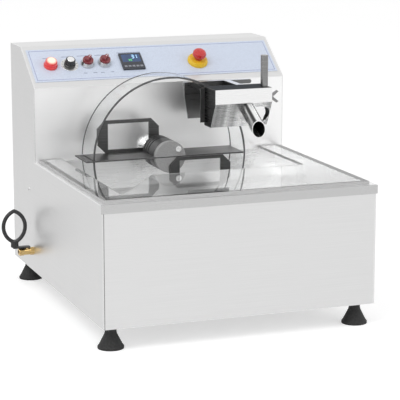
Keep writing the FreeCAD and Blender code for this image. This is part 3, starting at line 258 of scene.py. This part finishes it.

# %% [markdown]
# ### Scraper and spout
# The scraper is folded from one sheet. Its faces carry painted light, set by a mask made from
# the way that a face points, in the part's own axes, without cutting the mesh: each face is
# painted lighter or darker, as painted highlight and painted shade, and the slope has light and
# dark painted reflection bands. The drawn spout has long light and dark painted reflection bands.

# %% Faces painted lighter or darker by their direction
def steel_painted_by_facing(name, front, top, cheek_painted_shade, slope_painted_shade, slope_painted_highlight, rough):
    """Steel with painted light: its tone follows the object-space normal, so front, top and cheeks are
    painted lighter or darker.
    """
    tree, surface, out = new_finish(name, Metallic=1.0)
    place = add(tree, "ShaderNodeTexCoord")
    way = add(tree, "ShaderNodeSeparateXYZ", {"Vector": place.outputs["Normal"]}).outputs
    spot = add(tree, "ShaderNodeSeparateXYZ", {"Vector": place.outputs["Object"]}).outputs
    # Light and dark bands across the slope: painted reflection.
    lines = add(tree, "ShaderNodeCombineXYZ", {"X": maths(tree, "MULTIPLY", spot["X"], 1.0)})
    bands = add(tree, "ShaderNodeTexNoise", {"Vector": lines.outputs[0], "Scale": 55.0,
                                             "Detail": 3.0}).outputs["Fac"]
    tone = blend_colour(tree, band(tree, bands, 0.35, 0.65), grey(slope_painted_shade), grey(slope_painted_highlight))
    # Painted highlight and painted shade by face direction: front, top and cheeks each get their own tone.
    tone = blend_colour(tree, band(tree, way["Y"], -0.93, -0.97), tone, grey(front))
    tone = blend_colour(tree, band(tree, way["Z"], 0.6, 0.75), tone, grey(top))
    side = maths(tree, "ABSOLUTE", way["X"])
    tone = blend_colour(tree, band(tree, side, 0.6, 0.75), tone, grey(cheek_painted_shade))
    edge_wear_and_highlight = shared(tree, edges, Width=0.0009)
    # Edges get a painted highlight with wear.
    tone = blend_colour(tree, edge_wear_and_highlight, tone, grey(0.8))
    tree.links.new(tone, surface.inputs["Base Color"])
    streak = shared(tree, streaks, Fineness=700.0, Length=8.0)
    tree.links.new(band(tree, streak, 0.2, 0.8, rough, rough + 0.12), surface.inputs["Roughness"])


steel_painted_by_facing("hood_steel_painted_facing", 0.93, 0.12, 0.14, 0.22, 0.52, 0.22)
steel_painted_by_facing("plate_steel_painted_facing", 0.17, 0.92, 0.20, 0.14, 0.2, 0.24)

tree, surface, out = new_finish("spout_steel_painted_reflection", Metallic=1.0)
place = add(tree, "ShaderNodeTexCoord")
way = add(tree, "ShaderNodeSeparateXYZ", {"Vector": place.outputs["Normal"]}).outputs
# Painted reflection: light and dark bands set by the way that each face of the spout points.
turn_x = maths(tree, "ABSOLUTE", maths(tree, "SUBTRACT", way["X"], 0.12))
bright = band(tree, turn_x, 0.5, 0.3)
painted_outer_band = band(tree, turn_x, 0.72, 0.9)
tone = blend_colour(tree, bright, grey(0.06), grey(0.85))
tone = blend_colour(tree, painted_outer_band, tone, grey(0.4))
tree.links.new(tone, surface.inputs["Base Color"])
streak = shared(tree, streaks, Fineness=500.0, Length=20.0)
tree.links.new(band(tree, streak, 0.2, 0.8, 0.14, 0.24), surface.inputs["Roughness"])
finishes["hood_steel_painted_facing"].node_tree.nodes["Principled BSDF"].inputs["Specular Tint"].default_value = grey(0.25)

# The tank's fold down the front is given a darker colour than its inside.
tree = finishes["tank_steel"].node_tree
surface = tree.nodes["Principled BSDF"]
inside = surface.inputs["Base Color"].links[0].from_socket
place = add(tree, "ShaderNodeTexCoord")
spot = add(tree, "ShaderNodeSeparateXYZ", {"Vector": place.outputs["Object"]}).outputs
fold = band(tree, spot["Y"], -0.3165, -0.3185)
tree.links.new(blend_colour(tree, fold, inside, grey(0.56)), surface.inputs["Base Color"])
steel("rod_steel", 0.20, 0.34, 0.2, 0.1, edge_light=0.7)
print("scraper finishes made")

# %% [markdown]
# ### Clear plastic
# The hoop and the cover are clear sheet with full transmission. The cover bends light nearly
# as acrylic does, and its sawn edges are frosted. The hoop is given a far weaker bend than
# real acrylic, a choice of looks, so that its band stays clear and its rims draw it. Lamps
# would cast hard black shadows through both, so for shadow rays they are simply see-through.

# %% Clear plastic
def clear_plastic(name, tint, bend, cut_edge=False):
    """Clear sheet; with cut_edge, the faces that stand upright are frosted."""
    tree, surface, out = new_finish(name, Roughness=0.02, IOR=bend)
    surface.inputs["Transmission Weight"].default_value = 1.0
    smudge = shared(tree, smudges, Size=14.0)
    tree.links.new(blend_colour(tree, smudge, tint, grey(0.97)), surface.inputs["Base Color"])
    tree.links.new(band(tree, smudge, 0.0, 1.0, 0.0, 0.04), surface.inputs["Roughness"])
    open_way = add(tree, "ShaderNodeBsdfTransparent", {"Color": grey(0.93)})
    ray = add(tree, "ShaderNodeLightPath")
    passing = maths(tree, "MAXIMUM", ray.outputs["Is Shadow Ray"], ray.outputs["Is Diffuse Ray"])
    place = add(tree, "ShaderNodeTexCoord")
    way = add(tree, "ShaderNodeSeparateXYZ", {"Vector": place.outputs["Normal"]}).outputs
    sawn = band(tree, maths(tree, "ABSOLUTE", way["Z"]), 0.5, 0.3) if cut_edge else 0.0
    frosted = add(tree, "ShaderNodeBsdfPrincipled", {"Base Color": grey(0.5), "Roughness": 0.5})
    body = add(tree, "ShaderNodeMixShader", {0: sawn, 1: surface.outputs[0],
                                             2: frosted.outputs[0]})
    both = add(tree, "ShaderNodeMixShader", {0: passing, 1: body.outputs[0],
                                             2: open_way.outputs[0]})
    tree.links.new(both.outputs[0], out.inputs["Surface"])


clear_plastic("cover_plastic", (0.97, 0.98, 0.98, 1), 1.46, cut_edge=True)
clear_plastic("hoop_plastic", (0.98, 0.99, 0.99, 1), 1.06)

# %% [markdown]
# ### Moulded and printed plastic
# Plastic shows its colour through a thin gloss. Fine grain, a little dust and edges with a
# painted highlight and wear keep it from looking painted on.

# %% Plastic and rubber finishes
def moulded(name, colour, rough, grain=400.0, depth=0.00003, edge_gain=0.25, **values):
    tree, surface, out = new_finish(name, **values)
    place = add(tree, "ShaderNodeTexCoord")
    pebbles = add(tree, "ShaderNodeTexNoise", {"Vector": place.outputs["Object"], "Scale": grain,
                                               "Detail": 3.0}).outputs["Fac"]
    smudge = shared(tree, smudges, Size=22.0)
    edge_wear_and_highlight = shared(tree, edges, Width=0.0006)
    pale = [min(1.0, c * 1.25 + 0.01) for c in colour] + [1.0]
    deep = [c * 0.85 for c in colour] + [1.0]
    # Edges are paler by edge_gain: a painted highlight with wear.
    edge_highlight_and_wear_tone = [c + (1 - c) * edge_gain for c in colour] + [1.0]
    tone = blend_colour(tree, band(tree, pebbles, 0.3, 0.7), deep, pale)
    tone = blend_colour(tree, edge_wear_and_highlight, tone, edge_highlight_and_wear_tone)
    tree.links.new(tone, surface.inputs["Base Color"])
    tree.links.new(band(tree, smudge, 0.0, 1.0, rough, rough + 0.12), surface.inputs["Roughness"])
    relief(tree, surface, pebbles, depth)
    return tree, surface


moulded("panel_print", (0.60, 0.66, 0.78), 0.38, grain=900.0, depth=0.000004, edge_gain=0.3)
moulded("hub_plastic", (0.035, 0.035, 0.036), 0.35, edge_gain=0.25)
moulded("hub_face", (0.30, 0.30, 0.30), 0.36, edge_gain=0.5)
moulded("black_plastic", (0.012, 0.012, 0.013), 0.32, edge_gain=0.12)
moulded("foot_rubber", (0.012, 0.012, 0.012), 0.6, grain=260.0, depth=0.00008, edge_gain=0.08)
moulded("wiper_rubber", (0.02, 0.02, 0.02), 0.55, edge_gain=0.08)
moulded("stop_red", (0.55, 0.012, 0.01), 0.22, Coat_Weight=0.5)
moulded("lamp_ring", (0.72, 0.03, 0.03), 0.22, Coat_Weight=0.5)
# Painted shade: the hoop's rims are painted dark grey.
moulded("rim_painted_shade", (0.09, 0.09, 0.092), 0.35, edge_gain=0.1)
moulded("print_blue", (0.20, 0.23, 0.45), 0.4, edge_gain=0.0)
moulded("legend_grey", (0.16, 0.19, 0.30), 0.4, edge_gain=0.0)
moulded("pointer_white", (0.85, 0.85, 0.86), 0.3, edge_gain=0.0)
moulded("seam_grey", (0.14, 0.14, 0.14), 0.5, edge_gain=0.0)
moulded("selector_red", (0.20, 0.012, 0.02), 0.25, Coat_Weight=0.4)
moulded("stop_yellow", (0.85, 0.52, 0.02), 0.38)
moulded("key_grey", (0.25, 0.26, 0.3), 0.4)
moulded("controller_black", (0.03, 0.034, 0.045), 0.3, edge_gain=0.15)
moulded("motor_grey", (0.10, 0.11, 0.12), 0.45)

# %% Metal fittings
steel("brass", 0.5, 0.6, 0.22, 0.15)
for node in finishes["brass"].node_tree.nodes:
    if node.type == "MIX" and node.data_type == "RGBA":
        node.inputs[6].default_value = (0.55, 0.36, 0.12, 1)
        node.inputs[7].default_value = (0.80, 0.60, 0.30, 1)
steel("bezel_metal", 0.55, 0.7, 0.16, 0.14)
steel("dial_metal", 0.62, 0.74, 0.3, 0.15)

# %% [markdown]
# ### Lit pieces
# The lamp's lens and the controller's window shine from inside. The lens is palest at the
# middle of its top.

# %% Lit finishes
tree, surface, out = new_finish("lamp_glow", Roughness=0.25, Coat_Weight=0.4)
place = add(tree, "ShaderNodeTexCoord")
low, high = (Vector(corner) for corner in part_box("lamp_lens"))
to_top = Vector((0, -0.0041, 0.0057))    # from the lens's middle to its top, off the slope
centre = (low + high) / 2 + to_top
away = add(tree, "ShaderNodeVectorMath", {0: place.outputs["Object"], 1: centre},
           operation="DISTANCE").outputs["Value"]
heart = band(tree, away, 0.007, 0.0115)
tone = blend_colour(tree, heart, (1.0, 0.80, 0.62, 1), (0.60, 0.03, 0.03, 1))
tree.links.new(tone, surface.inputs["Base Color"])
tree.links.new(tone, surface.inputs["Emission Color"])
surface.inputs["Emission Strength"].default_value = 0.35

tree, surface, out = new_finish("window_blue", Roughness=0.12, Coat_Weight=0.6)
smudge = shared(tree, smudges, Size=40.0)
tone = blend_colour(tree, smudge, (0.006, 0.03, 0.10, 1), (0.012, 0.05, 0.15, 1))
tree.links.new(tone, surface.inputs["Base Color"])
tree.links.new(tone, surface.inputs["Emission Color"])
surface.inputs["Emission Strength"].default_value = 0.4

for name, colour in (("digit_blue", (0.45, 0.75, 1.0, 1)), ("digit_green", (0.15, 0.75, 0.2, 1))):
    tree, surface, out = new_finish(name, Roughness=0.3)
    smudge = shared(tree, smudges, Size=90.0)
    dim = tuple(0.85 * c for c in colour[:3]) + (1,)
    tone = blend_colour(tree, smudge, dim, colour)
    tree.links.new(tone, surface.inputs["Base Color"])
    tree.links.new(tone, surface.inputs["Emission Color"])
    surface.inputs["Emission Strength"].default_value = 0.7
print(len(finishes), "finishes")

# %% [markdown]
# ## Dressing the solids
# Each solid keeps its shape and gets its finish. The table names a finish and the solids
# that wear it.

# %% Dress the solids
wearing = {
    "body_steel": ["side_panel_left", "side_panel_right", "front_panel", "rear_panel",
                   "bottom_plate", "control_housing", "motor_bracket", "support_arm",
                   "body_screws", "drain_pipe"],
    "tank_steel": ["tank", "water_jacket"],
    "mirror_steel": ["mirror_wall"],
    "hood_steel_painted_facing": ["scraper_hood"],
    "plate_steel_painted_facing": ["scraper_plate", "scraper_bridge"],
    "spout_steel_painted_reflection": ["spout_tube"],
    "rod_steel": ["support_rod", "wing_screw"],
    "bright_steel": ["shaft_bearing", "drive_shaft", "hub_screw", "heating_element",
                     "temperature_probe"],
    "dark_steel": ["wheel_blade", "paddle_front", "paddle_rear"],
    "cover_plastic": ["clear_cover"],
    "hoop_plastic": ["wheel_hoop"],
    "hub_plastic": ["hub_body"],
    "hub_face": ["hub_cap"],
    "dial_metal": ["dial_plate"],
    "panel_print": ["printed_panel"],
    "black_plastic": ["power_inlet", "speed_knob", "valve_handle"],
    "controller_black": ["controller_case"],
    "foot_rubber": ["foot_front_left", "foot_front_right", "foot_back_left", "foot_back_right"],
    "wiper_rubber": ["scraper_wipers"],
    "bezel_metal": ["selector_bezel_left", "selector_bezel_right"],
    "lamp_ring": ["lamp_bezel"],
    "stop_red": ["stop_head", "stop_stem"],
    "selector_red": ["selector_knob_left", "selector_knob_right"],
    "lamp_glow": ["lamp_lens"],
    "stop_yellow": ["stop_base"],
    "window_blue": ["controller_window"],
    "key_grey": ["controller_key_1", "controller_key_2", "controller_key_3",
                 "controller_key_4", "controller_key_5"],
    "brass": ["valve_body"],
    "motor_grey": ["gearmotor"],
}
for finish, names in wearing.items():
    for name in names:
        solid = nodes[name]
        solid.data.materials.clear()
        solid.data.materials.append(finishes[finish])
bare = sorted(set(nodes) - {name for names in wearing.values() for name in names})
print("solids without a finish:", bare)

# %% [markdown]
# ## Making small pieces
# Three shapes cover the added pieces: a profile carried along a curve, a profile turned
# about an axis, and a set of flat bars. Each is worked out as whole arrays of points, and one
# helper turns the arrays into a closed mesh that rides on its body.

# %% Mesh helpers
def new_piece(name, points, faces, finish, body):
    """Makes a closed mesh from points and faces, with its normals outwards."""
    mesh = bpy.data.meshes.new(name)
    mesh.from_pydata([tuple(point) for point in points.tolist()], [], faces)
    form = bmesh.new()
    form.from_mesh(mesh)
    bmesh.ops.recalc_face_normals(form, faces=form.faces)
    form.to_mesh(mesh)
    form.free()
    made = bpy.data.objects.new(name, mesh)
    bpy.context.collection.objects.link(made)
    mesh.materials.append(finishes[finish])
    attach(made, body)
    return made


def grid_faces(rows, columns, wrap_rows):
    """Quads between neighbouring rows of points; each row closes on itself."""
    last = rows if wrap_rows else rows - 1
    row, column = np.meshgrid(np.arange(last), np.arange(columns), indexing="ij")
    below, beside = (row + 1) % rows, (column + 1) % columns
    quads = np.stack([row * columns + column, row * columns + beside,
                      below * columns + beside, below * columns + column], axis=-1)
    return quads.reshape(-1, 4).tolist()


def carried(name, path, outward, lift, profile, closed, finish, body):
    """Profile along a path: each point is the path's point, plus the profile's first number
    times the outward way there, plus its second number times the lift."""
    points = (path[:, None, :] + outward[:, None, :] * profile[None, :, :1]
              + np.asarray(lift)[None, None, :] * profile[None, :, 1:])
    rows, columns = points.shape[:2]
    faces = grid_faces(rows, columns, closed)
    if not closed:
        faces += [list(range(columns)), list(range((rows - 1) * columns, rows * columns))]
    return new_piece(name, points.reshape(-1, 3), faces, finish, body)


def turned(name, profile, origin, across, up, axis, finish, body, steps=40):
    """Profile of (radius, height) turned about an axis: radius times the cosine across, plus
    radius times the sine up, plus height along the axis; flat caps close both ends."""
    angle = np.linspace(0, 2 * np.pi, steps, endpoint=False)
    round_way = np.cos(angle)[:, None] * across + np.sin(angle)[:, None] * up
    points = (origin + profile[:, None, :1] * round_way[None]
              + profile[:, None, 1:] * axis[None, None, :])
    rows = len(profile)
    faces = grid_faces(rows, steps, False)
    faces += [list(range(steps)), list(range((rows - 1) * steps, rows * steps))]
    return new_piece(name, points.reshape(-1, 3), faces, finish, body)


corner_signs = np.array([(x, y, z) for z in (0, 1) for x, y in ((0, 0), (1, 0), (1, 1), (0, 1))])
box_faces = np.array([(0, 3, 2, 1), (4, 5, 6, 7), (0, 1, 5, 4), (1, 2, 6, 5), (2, 3, 7, 6),
                      (3, 0, 4, 7)])


def bars(name, sizes, origin, ways, finish, body, turn=0.0):
    """Flat bars: each row gives low and high across, low and high up, low and high lift, and
    a bar's corner is the origin plus those numbers times the three ways."""
    sizes = np.asarray(sizes, float).reshape(-1, 3, 2)
    local = (sizes[:, None, :, 0] * (1 - corner_signs)[None]
             + sizes[:, None, :, 1] * corner_signs[None])
    spin = np.array([[math.cos(turn), math.sin(turn), 0], [-math.sin(turn), math.cos(turn), 0],
                     [0, 0, 1]])
    points = origin + (local.reshape(-1, 3) @ spin) @ np.asarray(ways)
    faces = (box_faces[None] + 8 * np.arange(len(sizes))[:, None, None]).reshape(-1, 4)
    return new_piece(name, points, faces.tolist(), finish, body)


mm = 0.001
joint_of = {joint["name"]: joint for joint in frame["joints"]}

# %% [markdown]
# ## Rims of the clear hoop
# The hoop's cut edges are what shows of it: the light that enters the clear band leaves at
# its two rims, so they look like thin dark lines. Each rim is a small square profile painted
# dark, a painted shade for those lines, carried round the wheel's axis and open where the
# blade's tip passes through the hoop.

# %% Hoop rims
wheel = joint_of["wheel_spin"]
axis_at = np.array(wheel["pos_m"])
hoop_low, hoop_high = (np.array(corner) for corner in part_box("wheel_hoop"))
hoop_radius = (hoop_high[2] - hoop_low[2]) / 2
gap = 1.1 * math.pi / 180
angle = np.linspace(-math.pi + gap, math.pi - gap, 181)
round_way = np.stack([np.cos(angle), np.zeros_like(angle), np.sin(angle)], axis=1)
for name, face_y, way in (("hoop_rim_front", hoop_low[1], -1), ("hoop_rim_back", hoop_high[1], 1)):
    path = np.array([axis_at[0], face_y, axis_at[2]]) + round_way * (hoop_radius - 1.7 * mm)
    profile = np.array([(-1.5, 0), (1.5, 0), (1.5, 0.7), (1.2, 0.85), (-1.2, 0.85), (-1.5, 0.7)]) * mm
    carried(name, path, round_way, (0, way, 0), profile, False, "rim_painted_shade", "wheel")
print("hoop radius", round(hoop_radius, 4))

# %% [markdown]
# ## Prints on the panel
# The film on the control face has a thin line inside its edge and short marks beside each
# control, where a maker prints its legends. The marks stay plain, with no words. All places
# are measured on the slope: across, up the slope and square to it.

# %% Panel outline and marks
knob = joint_of["speed_turn"]
normal = np.array(knob["axis"]) / np.linalg.norm(knob["axis"])
slope_ways = np.array([(1, 0, 0), (0, normal[2], -normal[1]), normal])
row = np.array(knob["pos_m"])
panel_low, panel_high = (np.array(corner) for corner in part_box("printed_panel"))
middle = np.array([(panel_low[0] + panel_high[0]) / 2, row[1], row[2]])
half_wide = (panel_high[0] - panel_low[0]) / 2 - 5 * mm
bottom, top, film = -42 * mm, 45 * mm, 0.8 * mm
corners = np.array([(-half_wide, bottom), (half_wide, bottom), (half_wide, top), (-half_wide, top)])
outward = np.array([(-1, -1), (1, -1), (1, 1), (-1, 1)]) @ slope_ways[:2]
path = middle + corners @ slope_ways[:2] + normal * film
profile = np.array([(-0.45, 0), (0.45, 0), (0.45, 0.08), (-0.45, 0.08)]) * mm
carried("panel_outline", path, outward, normal, profile, True, "print_blue", "machine")

across = {"lamp": -41, "knob": 0, "left": 38, "right": 75, "controller": 135}
marks = [(across["lamp"] - 12, across["lamp"] + 12, 22, 23.2),
         (across["knob"] - 13, across["knob"] + 13, 24, 25.2),
         (across["left"] - 16, across["left"] + 12, 25, 26.2),
         (across["right"] - 15, across["right"] + 13, 25, 26.2),
         (across["controller"] - 26, across["controller"] + 26, 29, 30.4)]
for name in ("left", "right"):
    marks += [(across[name] - 14, across[name] - 6, -27, -25.6),
              (across[name] + 7, across[name] + 15, -27, -25.6)]
sizes = np.array([(*mark, 0.8, 0.88) for mark in marks]) * mm
bars("panel_marks", sizes, row, slope_ways, "legend_grey", "machine")

# %% Dial ticks
steps = np.radians(np.linspace(-45, 225, 11))
ring = np.stack([np.cos(steps), np.sin(steps)], axis=1)
for number, (x, y) in enumerate(ring):
    bars(f"dial_tick_{number}", np.array([(14.2, 17.4, -0.45, 0.45, 1.8, 1.9)]) * mm, row,
         slope_ways, "black_plastic", "machine", turn=math.atan2(y, x))
print("marks", len(marks), "ticks", len(ring))

# %% [markdown]
# ## Knob cap, selector pointers and digits
# The speed knob carries a spun metal cap. Each selector has a pale line along its pointer.
# The controller shows two rows of seven-bar digits, made as flat bars in the window.

# %% Cap and pointers
cap = np.array([(7.6, 17.1), (7.6, 17.5), (6.9, 17.9), (3.5, 18.1), (0.4, 18.15)]) * mm
turned("knob_cap", cap, row, slope_ways[0], slope_ways[1], normal, "bright_steel",
       "speed_knob")
for name, side in (("left", "selector_left_turn"), ("right", "selector_right_turn")):
    at = np.array(joint_of[side]["pos_m"])
    bars(f"selector_line_{name}", np.array([(1.0, 8.5, -0.6, 0.6, 21.2, 21.42)]) * mm, at,
         slope_ways, "pointer_white", f"selector_{name}",
         turn=math.pi / 4)

# %% Digits
segment = {"a": (0, 1, 1), "b": (1, 1, 0), "c": (1, 0, 0), "d": (0, 0, 1), "e": (0, 0, 0),
           "f": (0, 1, 0), "g": (0, 0.5, 1)}


def digit(shape, left, low, wide, high, thick):
    """Bars of one digit: level bars span the width, upright bars half of the height."""
    rows = []
    for name in shape:
        x, y, level = segment[name]
        if level:
            rows.append((left + thick * 0.7, left + wide - thick * 0.7,
                         low + y * (high - thick), low + y * (high - thick) + thick))
        else:
            start = low + (high / 2 if y else 0)
            rows.append((left + x * (wide - thick), left + x * (wide - thick) + thick,
                         start + thick * 0.6, start + high / 2 - thick * 0.2))
    return rows


window = row + slope_ways[0] * across["controller"] * mm
blue = digit("abgcd", 1.5, 7.5, 6, 10.5, 1.5) + digit("bc", 9.0, 7.5, 5, 10.5, 1.5)
green = digit("abgcd", -7.0, 0, 3.2, 5.5, 0.8) + digit("abcdef", -2.5, 0, 3.2, 5.5, 0.8)
for name, rows, finish in (("digits_blue", blue, "digit_blue"), ("digits_green", green, "digit_green")):
    sizes = np.array([(*bar, 4.61, 4.7) for bar in rows]) * mm
    bars(name, sizes, window, slope_ways, finish, "machine")
print("digit bars", len(blue) + len(green))

# %% [markdown]
# ## Seams of the body
# The front sheet is folded round and meets the side sheets in a fine dark joint, which is
# what draws the machine's front corners. It is a thin bar on the front face.

# %% Body seams
low, high = (np.array(corner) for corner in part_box("front_panel"))
world_ways = np.eye(3)
seams = [(low[0], low[0] + 1.3 * mm, low[1] - 0.12 * mm, low[1] + 0.02 * mm, low[2], high[2] - 6 * mm)]
bars("front_seam", seams, np.zeros(3), world_ways, "seam_grey", "machine")
print("front", [round(float(v), 4) for v in (*low, *high)])

# %% [markdown]
# ## Floor and light
# The machine stands on a plain pale floor in a pale room. The floor takes its shadow, and is
# lifted to white for the camera and for reflections. Two wide lamps give soft shapes to the
# metal: one high on the left, one on the right. The floor is lifted a little more for the
# camera than for reflections, so that it turns white without washing out the steel.

# %% Floor
floor_mesh = bpy.data.meshes.new("floor")
reach = 12.0
floor_mesh.from_pydata([(-reach, -reach, 0), (reach, -reach, 0), (reach, reach, 0),
                        (-reach, reach, 0)], [], [(0, 1, 2, 3)])
floor = bpy.data.objects.new("floor", floor_mesh)
bpy.context.collection.objects.link(floor)
paint = bpy.data.materials.new("floor_paint")
paint.use_nodes = True
tree = paint.node_tree
tree.nodes.clear()
place = add(tree, "ShaderNodeTexCoord")
faint = add(tree, "ShaderNodeTexNoise", {"Vector": place.outputs["Object"], "Scale": 3.0})
tone = blend_colour(tree, faint.outputs["Fac"], grey(0.80), grey(0.82))
matt = add(tree, "ShaderNodeBsdfDiffuse", {"Color": tone})
glow = add(tree, "ShaderNodeEmission", {"Color": grey(1.0)})
ray = add(tree, "ShaderNodeLightPath")
seen = maths(tree, "MAXIMUM", ray.outputs["Is Camera Ray"],
             maths(tree, "MAXIMUM", ray.outputs["Is Glossy Ray"],
                   ray.outputs["Is Transmission Ray"]))
strength = maths(tree, "ADD", maths(tree, "MULTIPLY", seen, 0.22),
                 maths(tree, "MULTIPLY", ray.outputs["Is Camera Ray"], 0.21))
tree.links.new(strength, glow.inputs["Strength"])
total = add(tree, "ShaderNodeAddShader", {0: matt.outputs[0], 1: glow.outputs[0]})
add(tree, "ShaderNodeOutputMaterial", {"Surface": total.outputs[0]})
floor_mesh.materials.append(paint)

# %% World and lamps
world = bpy.data.worlds.new("pale_room")
scene.world = world
world.use_nodes = True
tree = world.node_tree
tree.nodes.clear()
place = add(tree, "ShaderNodeTexCoord")
way = add(tree, "ShaderNodeSeparateXYZ", {"Vector": place.outputs["Generated"]}).outputs
room = add(tree, "ShaderNodeBackground", {"Strength": 0.78})
tree.links.new(blend_colour(tree, band(tree, way["Z"], 0.0, 0.8), grey(0.96), grey(0.86)),
               room.inputs["Color"])
white = add(tree, "ShaderNodeBackground", {"Color": grey(1.0), "Strength": 1.0})
ray = add(tree, "ShaderNodeLightPath")
seen = maths(tree, "MAXIMUM", ray.outputs["Is Camera Ray"],
             maths(tree, "MAXIMUM", ray.outputs["Is Glossy Ray"],
                   ray.outputs["Is Transmission Ray"]))
mixed = add(tree, "ShaderNodeMixShader", {0: seen, 1: room.outputs[0], 2: white.outputs[0]})
add(tree, "ShaderNodeOutputWorld", {"Surface": mixed.outputs[0]})


def lamp(name, at, size, watts):
    """Square lamp that faces the machine."""
    data = bpy.data.lights.new(name, "AREA")
    data.size = size
    data.energy = watts
    made = bpy.data.objects.new(name, data)
    made.location = at
    made.rotation_euler = (Vector((0, 0, 0.2)) - Vector(at)).to_track_quat("-Z", "Y").to_euler()
    bpy.context.collection.objects.link(made)


lamp("key_lamp", (-1.8, -1.6, 2.6), 1.6, 34)
lamp("fill_lamp", (2.2, -2.2, 1.8), 1.6, 12)
